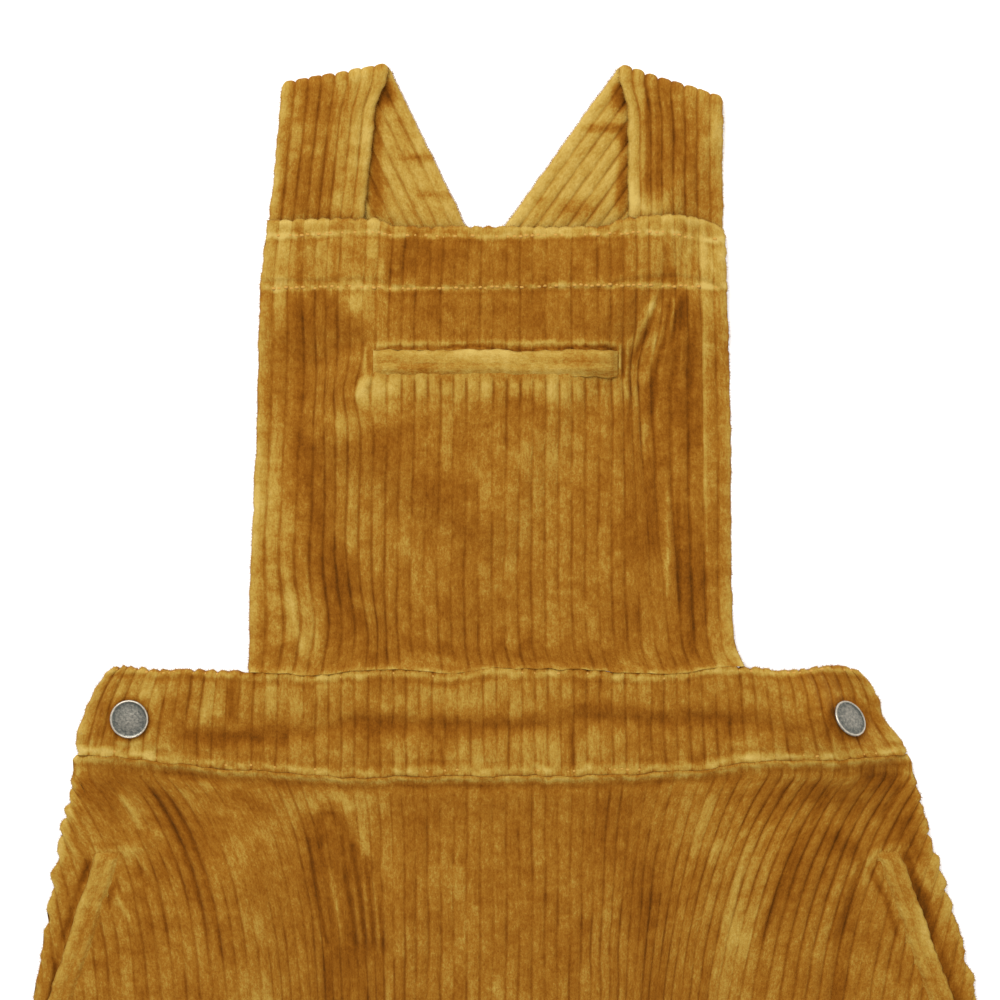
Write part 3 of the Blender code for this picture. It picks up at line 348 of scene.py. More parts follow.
BAND_CREASES = table(Crease, (
    (176, 734, 250, 742, 7, -0.5, -0.5, 3), (240, 738, 345, 726, 7, -0.6, -0.4, -3),
    (340, 722, 420, 726, 6, -0.8, -0.5, 3), (410, 722, 560, 726, 6, -0.6, -0.4, -2),
    (556, 716, 720, 718, 7, -0.7, -0.5, -3), (700, 716, 790, 730, 7, -0.5, -0.3, 2),
    (233, 678, 231, 722, 2.6, -0.6, -0.9), (162, 684, 166, 716, 2.0, -0.4, -0.6),
    (180, 726, 300, 746, 5.0, -0.3, -0.5), (668, 700, 700, 720, 4.0, -0.4, -0.5),
    (702, 684, 714, 716, 3.0, -0.5, -0.7), (104, 700, 96, 748, 2.4, -0.3, -0.7),
    (830, 704, 824, 742, 2.6, -0.4, -0.7), (100, 728, 94, 748, 2.0, -0.3, -0.6),
    (440, 736, 444, 770, 2.0, -0.3, -0.7), (571, 724, 573, 772, 2.2, -0.3, -0.8),
))

SKIRT_PATCHES = table(Patch, (
    (104, 788, 32, 14, -0.85), (66, 800, 12, 30, 0.5, -14), (56, 860, 10, 50, 0.6, -12),
    (138, 808, 12, 12, 0.3, 30), (225, 787, 30, 7, 0.5), (250, 802, 28, 9, -0.45),
    (205, 822, 22, 18, -0.5), (178, 850, 22, 60, -0.45, 20), (165, 905, 34, 36, -0.3, 20),
    (128, 855, 14, 8, 0.6), (335, 797, 44, 11, 0.85), (296, 822, 10, 24, 0.45, 14),
    (366, 826, 12, 26, 0.3, 14), (388, 850, 14, 26, 0.2, 10), (332, 842, 21, 32, -1.0),
    (345, 908, 42, 64, -0.9), (300, 890, 16, 44, -0.2, 6), (262, 850, 22, 20, 0.2),
    (240, 905, 30, 30, -0.1), (400, 880, 10, 30, 0.3), (452, 870, 26, 60, 0.15),
    (510, 860, 40, 70, -0.25), (410, 815, 18, 22, -0.45), (470, 803, 40, 16, -0.35),
    (560, 800, 24, 12, -0.4), (600, 850, 34, 50, -0.4), (645, 890, 24, 54, -0.65),
    (655, 800, 18, 14, -0.2), (735, 890, 30, 50, 0.6, -10), (716, 830, 24, 34, 0.3, -8),
    (793, 882, 22, 44, -0.65, -22), (820, 797, 60, 12, -0.8), (768, 800, 30, 14, -0.2, -20),
    (846, 845, 20, 16, -1.0), (848, 912, 20, 34, -0.85, -20), (882, 778, 22, 9, -1.1),
    (905, 830, 16, 20, -0.5), (880, 840, 18, 16, 0.35), (928, 870, 9, 60, 0.35, 10),
    (918, 905, 10, 30, -0.6, 14), (866, 884, 10, 26, 0.3),
    # below the photograph's edge the zones run on
    (150, 1010, 50, 70, -0.3, 14), (245, 1060, 30, 110, 0.35), (352, 1040, 34, 90, -0.7),
    (420, 1100, 26, 130, 0.3), (560, 1080, 60, 120, -0.35), (655, 1040, 22, 90, -0.6),
    (742, 1040, 30, 120, 0.5, -6), (820, 1060, 30, 100, -0.6, -12), (890, 1100, 26, 120, 0.3, -8),
    (120, 1220, 40, 110, 0.35, 8), (210, 1290, 34, 110, -0.55, 4), (330, 1320, 40, 110, 0.3),
    (455, 1300, 40, 120, -0.45), (610, 1330, 44, 110, 0.35), (735, 1300, 30, 120, -0.5, -4),
    (860, 1320, 40, 110, 0.35, -8), (975, 1330, 40, 110, -0.4, -10), (30, 1380, 30, 80, -0.4, 8),
))
SKIRT_GROOVES = table(Patch, (
    (112, 812, 46, 46, -0.5, 10), (246, 850, 48, 100, -0.42, 14), (184, 870, 26, 90, 0.35, 22),
    (345, 890, 36, 66, -0.5), (490, 830, 96, 60, -0.2), (480, 785, 260, 12, -0.3),
    (800, 860, 84, 90, 0.35, -24), (900, 800, 22, 50, 0.15, -24), (110, 905, 30, 40, -0.25, 20),
    (890, 905, 26, 50, -0.3, -24),
))
SKIRT_CREASES = table(Crease, (
    # the seam under the waistband, with painted shade in its line
    (78, 761, 150, 767, 3.0, 0.5, 0.5), (160, 772, 228, 782, 4.0, -0.9, -1.1),
    (380, 786, 600, 787, 3.0, -0.5, -0.7), (230, 784, 380, 786, 3.0, -0.3, -0.5),
    (600, 786, 745, 778, 3.0, -0.4, -0.5), (860, 776, 905, 776, 5.0, -0.9, -0.9),
    (745, 772, 860, 779, 3.0, 0.4, 0.4),
    # grooves that open on the left
    (149, 786, 168, 816, 3.2, -0.8, -0.9), (166, 812, 210, 940, 3.2, -0.7, -0.9, 4),
    (168, 797, 204, 872, 3.0, -0.7, -0.8, 3), (203, 868, 224, 960, 3.0, -0.6, -0.7),
    (117, 791, 140, 826, 2.6, 0.6, 1.0, 1), (78, 798, 92, 826, 1.8, 0.5, 1.0),
    (68, 808, 80, 832, 1.8, 0.5, 0.9), (112, 888, 140, 945, 2.6, 0.6, 0.8, 1),
    (66, 838, 76, 856, 1.8, 0.5, 0.8), (94, 798, 108, 822, 1.8, -0.3, -0.6),
    (134, 858, 150, 884, 2.0, -0.3, -0.7), (146, 836, 176, 880, 2.0, 0.4, 0.6, 2),
    (122, 852, 166, 830, 4.0, 0.6, 0.5, -3), (130, 862, 160, 900, 4.0, -0.4, -0.5),
    (300, 800, 334, 945, 4.0, -0.5, -0.5),
    # the open fold left of the middle
    (308, 840, 317, 890, 2.2, -0.6, -1.1), (316, 884, 328, 950, 2.2, -0.7, -1.4),
    (319, 816, 322, 852, 4.0, -0.6, -0.8), (340, 832, 348, 894, 2.2, -0.5, -0.9),
    (348, 888, 357, 950, 2.4, -0.7, -1.2), (351, 840, 358, 886, 2.4, -0.7, -1.2),
    (358, 880, 366, 950, 2.6, -0.8, -1.6), (365, 857, 369, 886, 2.2, -0.6, -0.9),
    (368, 880, 375, 950, 2.4, -0.7, -1.3), (379, 896, 384, 955, 2.2, -0.7, -1.1),
    (322, 826, 328, 864, 2.4, 0.5, 1.0), (328, 857, 342, 945, 2.6, 0.5, 1.3),
    (336, 824, 343, 874, 2.6, 0.4, 0.6), (311, 842, 317, 878, 2.2, 0.4, 0.5),
    (316, 870, 328, 940, 2.4, 0.4, 0.7), (310, 892, 321, 945, 2.2, 0.4, 0.6),
    (353, 878, 361, 950, 2.8, 0.4, 0.5), (363, 884, 370, 950, 2.8, 0.4, 0.5),
    (373, 876, 380, 950, 2.4, 0.4, 0.7), (305, 812, 352, 808, 2.4, 0.5, 0.5),
    (346, 810, 380, 868, 4.0, 0.5, 0.4), (318, 814, 336, 813, 2.0, -0.4, -0.7),
    # grooves that open on the right
    (830, 786, 809, 828, 3.0, -0.7, -0.8), (810, 824, 760, 945, 3.2, -0.7, -0.8, -3),
    (862, 800, 842, 834, 3.2, -0.8, -0.8), (842, 830, 822, 884, 3.0, -0.6, -0.7),
    (903, 781, 881, 820, 3.2, -0.8, -0.8), (790, 776, 760, 856, 3.0, -0.5, -0.6),
    (862, 857, 834, 945, 4.2, -1.0, -0.9, 2), (850, 820, 826, 872, 3.6, 0.5, 0.5),
    (800, 800, 780, 850, 3.0, 0.5, 0.5), (745, 850, 722, 960, 3.4, 0.5, 0.5),
    (768, 860, 746, 960, 3.4, 0.5, 0.5), (872, 862, 896, 905, 4.0, 0.5, 0.5),
    # the mouths of the hip pockets, with painted shade in them
    (90, 856, 60, 944, 2.8, -1.0, -1.7), (88, 858, 82, 884, 4.0, -0.8, -1.3),
    (92, 850, 122, 850, 2.6, 0.5, 0.9, -1), (113, 882, 108, 908, 2.6, -0.6, -1.1),
    (84, 874, 58, 944, 1.8, 0.3, 0.5), (906, 852, 919, 893, 4.6, -1.1, -1.9),
    (919, 890, 938, 948, 7.0, -1.1, -1.9), (938, 944, 972, 1048, 5.0, -1.0, -1.4),
    (60, 944, 34, 1080, 2.6, -1.0, -1.2), (866, 862, 880, 849, 3.0, 0.4, 0.8),
    (878, 852, 906, 844, 3.4, 0.6, 1.0), (869, 866, 884, 896, 2.4, -0.6, -1.4),
    (884, 892, 899, 940, 2.4, -0.6, -1.3), (912, 862, 934, 896, 4.0, 0.4, 0.5),
    (910, 838, 922, 862, 3.4, -0.6, -1.1),
    # long soft folds below the photograph's edge
    (326, 950, 318, 1180, 6, -0.9, -0.6, 3), (364, 970, 372, 1150, 6, -0.8, -0.5, 3),
    (210, 940, 226, 1120, 6, -0.7, -0.5, 4), (150, 960, 128, 1240, 8, 0.8, 0.3, 6),
    (760, 945, 752, 1130, 6, -0.7, -0.5, 3), (834, 945, 830, 1210, 8, -0.9, -0.5, 4),
    (560, 1010, 566, 1260, 8, -0.7, -0.3, 3), (470, 1120, 462, 1440, 9, 0.8, 0.2, 4),
    (690, 1160, 702, 1440, 8, -0.8, -0.3, 4), (900, 1150, 926, 1420, 9, -0.9, -0.4, 4),
    (70, 1150, 40, 1400, 9, -0.9, -0.4, 5), (262, 1210, 248, 1450, 9, -0.8, -0.3, 5),
))

STRAP_FRONT_PATCHES = {
    "left": table(Patch, (
        (315, 98, 20, 32, -0.7), (300, 185, 16, 36, -0.65), (322, 150, 9, 40, -0.35),
        (288, 125, 12, 30, 0.35), (348, 140, 18, 90, 0.5), (364, 150, 9, 80, 0.7),
        (340, 206, 28, 12, 0.55), (350, 155, 14, 8, -0.5), (274, 160, 7, 70, 0.5),
        (350, 80, 30, 14, 0.5), (306, 128, 12, 8, 0.5),
    )),
    "right": table(Patch, (
        (637, 135, 9, 80, 0.85), (662, 100, 14, 28, -0.5, -20), (668, 150, 15, 40, -0.85),
        (690, 140, 14, 26, -0.35), (708, 110, 16, 30, 0.3), (700, 190, 18, 28, -0.15),
        (645, 204, 26, 14, 0.85), (714, 170, 9, 60, 0.2), (680, 205, 16, 12, -0.3),
        (682, 178, 12, 16, 0.2),
    )),
}
# Painted shadow on each strap's back run: where the front run shades it at the fold and along its
# inner edge, in its creases, and under the bib's top edge.
STRAP_BACK_SHADE = {
    "left": table(Patch, (
        (384, 92, 10, 14, -3.0), (375, 150, 7, 70, -1.9), (382, 195, 8, 20, -0.8),
        (420, 157, 24, 4, -1.0), (436, 194, 22, 4, -1.0), (401, 121, 14, 3, -0.7),
    )),
    "right": table(Patch, (
        (622, 96, 10, 13, -3.2), (605, 127, 24, 5, -1.6), (626, 135, 8, 12, -2.4),
        (624, 165, 6, 20, -1.6), (622, 196, 7, 20, -2.2), (578, 210, 24, 10, -1.1),
        (552, 200, 24, 5, -0.5),
    )),
}
STRAP_CREASES = {
    "left": table(Crease, (
        (338, 84, 315, 216, 2.4, -0.4, -0.7), (350, 80, 341, 140, 2.2, -0.3, -0.7),
    )),
    "right": table(Crease, (
        (646, 76, 647, 210, 2.4, -0.5, -0.9, 2), (655, 78, 657, 214, 2.2, -0.4, -0.7, 2),
        (664, 84, 682, 160, 2.4, -0.4, -0.5, -3),
    )),
}


# Small helpers ------------------------------------------------------------------------------------

def ramp(share):
    """A soft step, from 0 at 0 to 1 at 1."""
    share = np.clip(share, 0.0, 1.0)
    return share * share * (3.0 - 2.0 * share)


def climb(step, at):
    """A soft step, from 0 where it starts to 1 where it ends."""
    return ramp((at - step.start) / step.span)


def mix(first, second, share):
    return first + (second - first) * share


def on_dress(x, y):
    """The place on the garment that a pixel of the photograph shows."""
    return (x - CENTRE_X) * PIXEL, (y - SHOULDER_Y) * PIXEL


def follow(rows, given, wanted, at):
    """Read a table's column between its rows, on a smooth curve that never overshoots."""
    keys = np.array([getattr(row, given) for row in rows], float)
    values = np.array([getattr(row, wanted) for row in rows], float)
    spans = np.diff(keys)
    slopes = np.diff(values) / spans
    tangents = [slopes[0]]
    for before, after in zip(slopes, slopes[1:]):
        tangents.append(0.0 if before * after <= 0 else 2 * before * after / (before + after))
    tangents = np.array(tangents + [slopes[-1]])
    at = np.clip(np.asarray(at, float), keys[0], keys[-1])
    i = np.clip(np.searchsorted(keys, at, side="right") - 1, 0, len(spans) - 1)
    t = (at - keys[i]) / spans[i]
    start = tangents[i] * spans[i] * t * (1 - t) ** 2
    end = tangents[i + 1] * spans[i] * t * t * (t - 1)
    return values[i] + (values[i + 1] - values[i]) * ramp(t) + start + end


def solve(function, low, high):
    """Where rising functions pass zero, for all the places at once."""
    low, high = np.array(low, float), np.array(high, float)
    for _ in range(40):
        middle = (low + high) / 2
        below = function(middle) < 0
        low = np.where(below, middle, low)
        high = np.where(below, high, middle)
    return (low + high) / 2


def scatter(i, j, seed):
    """A repeatable number from -1 to 1 for each pair of whole numbers; a seed gives each series."""
    mixed = np.sin(i * 127.1 + j * 311.7 + seed * 74.7) * 43758.5453
    return 2.0 * (mixed - np.floor(mixed)) - 1.0


def noise(x, y, seed):
    """Smooth unevenness, from -1 to 1, that repeats each run."""
    i, j = np.floor(x), np.floor(y)
    u, v = ramp(x - i), ramp(y - j)
    near = mix(scatter(i, j, seed), scatter(i + 1, j, seed), u)
    far = mix(scatter(i, j + 1, seed), scatter(i + 1, j + 1, seed), u)
    return mix(near, far, v)


def waves(x, seed):
    """Smooth unevenness along one line, from -1 to 1."""
    return noise(x, x * 0.0, seed)


def each_wale(place, seed):
    """A number from -1 to 1 that is the same all over a wale."""
    return scatter(np.floor(place), 0.0, seed)


def hill(distance, width):
    """1 on a line, and softly less to both sides."""
    return np.exp(-(distance / width) ** 2)


def fade(distance, width):
    """1 at an edge, and less further in."""
    return np.exp(-distance / width)


# Reading the hand-placed tables -------------------------------------------------------------------

def patches_tone(patches, across, down):
    """The tone from the soft patches: the nap's light and dark, with painted light and shade."""
    tone = np.zeros(np.broadcast(across, down).shape)
    for patch in patches:
        patch_across, patch_down = on_dress(patch.x, patch.y)
        lean = math.radians(patch.lean)
        x, y = across - patch_across, down - patch_down
        wide = (x * math.cos(lean) - y * math.sin(lean)) / (patch.wide * PIXEL)
        long = (x * math.sin(lean) + y * math.cos(lean)) / (patch.long * PIXEL)
        tone += patch.tone * np.exp(-(wide * wide + long * long) ** PATCH_EDGE)
    return tone


def crease_effect(creases, across, down):
    """(rise, tone) from the creases; the tone is partly the nap and partly painted shade and light."""
    rise = np.zeros(np.broadcast(across, down).shape)
    tone = np.zeros_like(rise)
    for crease in creases:
        first = on_dress(crease.x, crease.y)
        last = on_dress(crease.to_x, crease.to_y)
        run = (last[0] - first[0], last[1] - first[1])
        length = math.hypot(*run)
        run = (run[0] / length, run[1] / length)
        along = ((across - first[0]) * run[0] + (down - first[1]) * run[1]) / length
        inside = np.clip(along, 0.0, 1.0)
        off = (across - first[0]) * run[1] - (down - first[1]) * run[0]
        off = off - crease.bow * PIXEL * 4 * inside * (1 - inside)
        ends = climb(CREASE_END, along) * climb(CREASE_END, 1.0 - along)
        strength = ends * hill(off, crease.width * PIXEL)
        rise += crease.rise * strength
        tone += crease.tone * strength
    return rise, tone


def pulled(pulls, across, down):
    """How far the wales are drawn aside."""
    shift = np.zeros(np.broadcast(across, down).shape)
    for pull in pulls:
        pull_across, pull_down = on_dress(pull.x, pull.y)
        wide = (across - pull_across) / (pull.wide * PIXEL)
        long = (down - pull_down) / (pull.long * PIXEL)
        shift += pull.shift * PIXEL * np.exp(-wide * wide - long * long)
    return shift


# Wales --------------------------------------------------------------------------------------------

def wale_places(first, last):
    """Places across the cloth, in wales, that follow each wale's round section."""
    places = [whole + step for whole in range(math.floor(first), math.ceil(last))
              for step in WALE_STEPS]
    inside = [place for place in places if first < place < last]
    return np.array([first] + inside + [last])


def wale_section(place):
    """(crest, groove) at a place: a broad round top, and a groove with soft sides."""
    out = np.abs(2.0 * (place - np.floor(place)) - 1.0)
    crest = (1.0 - out ** 3.0) ** 0.6
    groove = 0.55 * ramp((out - 0.64) / 0.35) + 0.45 * ramp((out - 0.3) / 0.7)
    return crest, groove


def middle_of_wale(place, wales):
    """The middle of the wale at each place, as a share of all the wales."""
    return (np.clip(np.floor(place), 0, wales - 1) + 0.5) / wales


def standing(crest, shown):
    """The share of a wale's height at its crest and, where a groove is closed, beside it."""
    return 1.0 - (1.0 - crest) * mix(CLOSED_GROOVE, 1.0, shown)


def ribbed(level, crest, groove, shown, sewn):
    """Height of wales over their grooves' level, lower where they are sewn down."""
    return level - GROOVE_SINKS * groove * shown + WALE_HEIGHT * standing(crest, shown) * (1.0 - sewn)


def shown_grooves(base, patches, across, down, place, seed):
    """How clearly each groove shows, from almost closed over by the pile to wide open."""
    groove = np.floor(place + 0.5)
    shown = base + patches_tone(patches, across, down)
    shown = shown + 0.34 * noise(groove * 1.7, down / 24.0, seed)
    shown = shown + 0.32 * noise(groove * 0.9 + 0.4, down / 5.0, seed + 1)
    return np.clip(shown, LEAST_OPEN, MOST_OPEN)


def fray(along, distance, seed):
    """How far a side edge pushes out of its line."""
    out = 0.3 * waves(along / 9.0, seed) + 0.55 * waves(along / 3.3, seed + 1)
    return FRAY * (out + 0.75 * waves(along / 1.7, seed + 2)) * fade(distance, 1.4)


def round_end(place):
    """The round end of a wale, from 0 at its grooves to 1 in its middle."""
    return np.sin(np.pi * (place - np.floor(place)))


def scallop(place, distance, seed):
    """How far a wale's end sticks out of its edge."""
    size = SCALLOP * (0.75 + 0.5 * each_wale(place, seed))
    crumbs = 0.35 * waves(place * 2.7, seed + 1) + 0.3 * waves(place * 5.9, seed + 2)
    return (size * (round_end(place) - 0.75) + crumbs) * fade(distance, 1.3)


def rounded(distance, left=EDGE_LEFT):
    """The share of the thickness left near a turned edge."""
    share = np.clip(distance / EDGE_ROUND, 0.0, 1.0)
    return mix(left, 1.0, np.sqrt(share * (2.0 - share)))


def skirt_seam_left(across):
    """The share of the thickness left at the skirt's seam: its dark line comes and goes."""
    uneven = waves(across / 3.7, 8) + 0.6 * waves(across / 17.0, 9)
    share = SKIRT_SEAM_LEFT + 0.14 * climb(SEAM_FILLS_OUT, np.abs(across)) + 0.12 * uneven
    return np.clip(share, 0.74, 0.99)


def wale_feel(place, down, seed):
    """(height, tone) that make each wale uneven."""
    wale = np.floor(place)
    height = 0.12 * noise(wale * 1.37, down / 11.0, seed)
    height = height + FUZZ * noise(place * 3.1, down / 1.9, seed + 1)
    height = height + FUZZ * 0.8 * noise(place * 1.3, down / 4.3, seed + 2)
    tone = 0.16 * each_wale(place, seed + 3) + 0.34 * noise(wale * 1.7, down / 17.0, seed + 4)
    tone = tone + 0.34 * noise(wale * 3.3 + place * 0.4, down / 2.7, seed + 10)
    tone = tone + 0.16 * noise(place * 1.6, down / 5.5, seed + 5)
    tone = tone + 0.22 * noise(place * 0.55, down / 8.5, seed + 6)
    return height, tone + 0.26 * noise(place * 0.21, down / 15.0, seed + 7)


def wale_light_and_shade(place, shown=0.6):
    """Painted highlight beside each groove, painted light on the side of a wale that faces the light
    and painted shade on the other.
    """
    inside = place - np.floor(place)
    rims = RIM_LIGHT * (hill(np.abs(2.0 * inside - 1.0) - 0.68, 0.17) - 0.3)
    rims = rims + 0.13 * np.cos(2 * np.pi * (inside - 0.3))
    return rims * np.clip(1.7 * shown, 0.1, 1.0)


# Straps -------------------------------------------------------------------------------------------

def unit(angle):
    return math.cos(math.radians(angle)), math.sin(math.radians(angle))


class StrapPath:
    """A flat strip that runs up the front, turns over a slanted fold and runs down behind."""

    def __init__(self, strap):
        self.strap = strap
        rise = (strap.fold_across - strap.foot_across, strap.foot_down - strap.fold_down)
        self.front_length = math.hypot(*rise)
        self.run = (rise[0] / self.front_length, rise[1] / self.front_length)
        self.fold = unit(strap.fold_rises)
        along_fold = self.run[0] * self.fold[0] + self.run[1] * self.fold[1]
        self.back_run = (2 * along_fold * self.fold[0] - self.run[0],
                         2 * along_fold * self.fold[1] - self.run[1])
        self.turn_length = math.pi * STRAP_FOLD

    def plan(self, along, sideways):
        """(across, down, bend) of the strip's middle surface; bend runs 0 to pi at the fold."""
        ahead = along - self.front_length
        flat = (self.run[0] * ahead + self.run[1] * sideways,
                self.run[1] * ahead - self.run[0] * sideways)
        on_fold = flat[0] * self.fold[0] + flat[1] * self.fold[1]
        past = flat[1] * self.fold[0] - flat[0] * self.fold[1]
        bend = np.clip(past / STRAP_FOLD, 0.0, math.pi)
        reach = np.where(past < self.turn_length, STRAP_FOLD * np.sin(bend), self.turn_length - past)
        reach = np.where(past <= 0, past, reach)
        across = self.strap.fold_across + on_fold * self.fold[0] - reach * self.fold[1]
        down = self.strap.fold_down - on_fold * self.fold[1] - reach * self.fold[0]
        across = across + np.where(past >= self.turn_length, self.aside(down), 0.0)
        return across, down, bend

    def aside(self, down):
        """How far the back run has curved aside at a place."""
        span = STRAP_END_DOWN - STRAP_CURVE_DOWN
        return self.strap.curves * ramp((down - STRAP_CURVE_DOWN) / span)

    def outside_back_run(self, across, down):
        """How far a place lies outside the strip's back run; negative on it."""
        offset = (across - self.aside(down) - self.strap.fold_across, self.strap.fold_down - down)
        return np.abs(offset[0] * self.back_run[1] - offset[1] * self.back_run[0]) - STRAP_WIDTH / 2

    def outside_front_run(self, across, down):
        """How far a place lies outside the strip's front run, its end included."""
        offset = (across - self.strap.fold_across, self.strap.fold_down - down)
        sideways = np.abs(offset[0] * self.run[1] - offset[1] * self.run[0]) - STRAP_WIDTH / 2
        beyond = -(offset[0] * self.run[0] + offset[1] * self.run[1]) - self.front_length
        corner = (sideways > 0) & (beyond > 0)
        return np.where(corner, np.hypot(sideways, beyond), np.maximum(sideways, beyond))

    def back_distance(self, across, down):
        """Length along the back run, from the fold."""
        offset = (across - self.aside(down) - self.strap.fold_across, self.strap.fold_down - down)
        return offset[0] * self.back_run[0] + offset[1] * self.back_run[1]


PATHS = {side: StrapPath(strap) for side, strap in STRAPS.items()}
STRAP_STEP = STRAP_CLOTH + STRAP_RIB + SEAM_GAP


def back_run_across(path, down):
    """The middle of a strap's back run at a height on the garment."""
    slope = path.back_run[0] / -path.back_run[1]
    return path.strap.fold_across + slope * (down - path.strap.fold_down) + path.aside(down)


CROSSING_DOWN = float(solve(
    lambda down: back_run_across(PATHS["left"], down) - back_run_across(PATHS["right"], down),
    0.0, STRAP_END_DOWN))
CROSSING = (float(back_run_across(PATHS["left"], CROSSING_DOWN)), CROSSING_DOWN)


def crossing_lift(path, across, down, margin=0.0):
    """How far a back run is lifted where it passes over the other one."""
    if not path.strap.over:
        return 0.0
    away = np.abs(path.back_distance(across, down) - path.back_distance(*CROSSING)) - margin
    return STRAP_STEP * (1.0 - ramp((away - STRAP_CROSSING_HALF) / STRAP_CROSSING_SLOPE))


def front_run_sinks(path, across, down, margin=0.0):
    """How far a front run sinks where its back run is no longer under it."""
    return STRAP_STEP * climb(FRONT_RUN_SINKS, path.outside_back_run(across, down) - margin)


# The layers' heights ------------------------------------------------------------------------------

def waver(across, seed):
    """How far a seam wanders, in waves of two lengths."""
    across = np.asarray(across, float)
    return SEAM_WAVER * (0.6 * waves(across / 13.0, seed) + 0.7 * waves(across / 4.2, seed + 1))


def waist_top(across):
    return follow(WAIST, "across", "top", across) + waver(across, 5)


def waist_bottom(across):
    return follow(WAIST, "across", "bottom", across) + waver(across, 7)


def roll_reach(across, down):
    """How far a place lies along the fall of the waistband's rolled right end."""
    fall = unit(ROLL_SLANT)
    snap = SNAPS["right"]
    return (across - snap.across) * fall[0] - (down - snap.down) * fall[1]


def side_roll(across, down):
    """How far the waistband's ends stand up: the right one stands up and rolls over."""
    fallen = ramp((roll_reach(across, down) + ROLL_REACH / 2) / ROLL_REACH)
    near = hill(down - ROLL_MIDDLE, ROLL_HALF_LENGTH)
    right = ROLL_HEIGHT * (1.0 - fallen) * climb(ROLL_RISES, across) * near
    left = LEFT_END_HEIGHT * climb(LEFT_END_RISES, -across) * near
    return right + left * (1.0 - climb(LEFT_END_FALLS, -across))


def end_drop(across, down):
    """How far the front band's ends come down past the back band."""
    right = climb(RIGHT_END_FALLS, roll_reach(across, down))
    right = right * climb(RIGHT_END_PAST, across - BACK_BAND.right)
    left = climb(LEFT_END_PAST, BACK_BAND.left - across)
    lowest = mix(END_LOWEST, SKIRT_UNDER + END_OVER_SKIRT, climb(END_MEETS_SKIRT, down))
    return (BAND_UNDER - lowest) * np.maximum(right, left)


def under_band(across, down):
    return BAND_UNDER + side_roll(across, down) - end_drop(across, down)


def band_place(share_across, share_down):
    """Wales stand upright along most of the band and lean with its slanted ends."""
    left = follow(WAIST_ENDS, "share", "left", share_down)
    right = follow(WAIST_ENDS, "share", "right", share_down)
    middle_left = follow(WAIST_ENDS, "share", "left", 0.5)
    middle_right = follow(WAIST_ENDS, "share", "right", 0.5)
    out = 2.0 * share_across - 1.0
    lean = np.where(out < 0, left - middle_left, right - middle_right)
    across = mix(middle_left, middle_right, share_across) + lean * out ** 4
    top, bottom = waist_top(across), waist_bottom(across)
    return across, mix(top + CLOSED_SEAM / 2, bottom - CLOSED_SEAM / 2, share_down)


def band_crease(across, down):
    """The long shallow crease along the waistband."""
    crease = BAND_CREASE_DEPTH * hill(down - BAND_CREASE_DOWN, BAND_CREASE_HALF)
    return crease * (1.0 - climb(BAND_CREASE_FADES, np.abs(across)))


def band_top(across, down):
    """Height of the front waistband's face in its grooves."""
    rise, _ = crease_effect(BAND_CREASES, across, down)
    return under_band(across, down) + BAND_CLOTH - band_crease(across, down) + rise


def under_bib(across, down):
    """Height of the bib's inside: on the straps, on the waist seam, else on the surface."""
    total = 0.0
    for path in PATHS.values():
        on_back_run = STRAP_STEP + BIB_SLACK + crossing_lift(path, across, down, BIB_REST)
        on_front_run = 2 * STRAP_STEP + BIB_SLACK - front_run_sinks(path, across, down, BIB_REST)
        for top, off in ((on_back_run, path.outside_back_run(across, down)),
                         (on_front_run, path.outside_front_run(across, down))):
            total = total + (top * (1.0 - ramp((off - BIB_REST) / BIB_SAG))) ** 4
    seam = waist_top(across)
    at_waist = under_band(across, seam) * (1.0 - climb(BIB_LEAVES_WAIST, seam - down))
    return (total + at_waist ** 4) ** 0.25


def bib_place(share_across, below_top):
    """Wales run down the bib and spread slightly with it."""
    guess = BIB_SIDES[0].down + below_top
    across = mix(follow(BIB_SIDES, "down", "left", guess), follow(BIB_SIDES, "down", "right", guess),
                 share_across)
    top = follow(BIB_TOP, "across", "down", across)
    down = mix(top, waist_top(across) - CLOSED_SEAM / 2, below_top / BIB_LENGTH)
    left = follow(BIB_SIDES, "down", "left", down)
    right = follow(BIB_SIDES, "down", "right", down)
    return mix(left, right, share_across), down


def plain_bib_top(across, down):
    """Height of the bib's face in its grooves, before it is creased."""
    below_top = down - follow(BIB_TOP, "across", "down", across)
    hem = BIB_HEM_EXTRA * (1.0 - climb(BIB_HEM_EDGE, below_top - BIB_HEM))
    return under_bib(across, down) + CLOTH + hem


def rim_wander(across, down):
    """How far the pocket's lumpy rim strays from its line."""
    near = hill(down - BIB_WELT.top + 1.6, 3.0)
    return (0.5 * waves(across / 1.9, 3) + 0.6 * waves(across / 7.3, 4)) * near


def bib_top(across, down):
    rise, _ = crease_effect(BIB_CREASES, across, down + rim_wander(across, down))
    return plain_bib_top(across, down) + np.maximum(rise, -DEEPEST_CREASE)


def hem_down(across):
    return SHOULDER_TO_HEM - SKIRT_HEM_RISE * (across / SKIRT_HEM_HALF_WIDTH) ** 2


def wale_across(at_waist, down):
    """Where a wale that starts at a place along the waist lies, further down."""
    share = ramp((np.abs(at_waist) - LEAN_STARTS) / (LEAN_ENDS - LEAN_STARTS))
    below = np.maximum(down - waist_bottom(0.0), 0.0)
    left, right = (LEANS[side].shift * (1.0 - fade(below, LEANS[side].over)) for side in (-1, 1))
    return at_waist + share * np.where(at_waist > 0, -right, left)


def skirt_side(side, down):
    left = follow(SKIRT_SIDES, "down", "left", down)
    return np.where(side < 0, left, follow(SKIRT_SIDES, "down", "right", down))


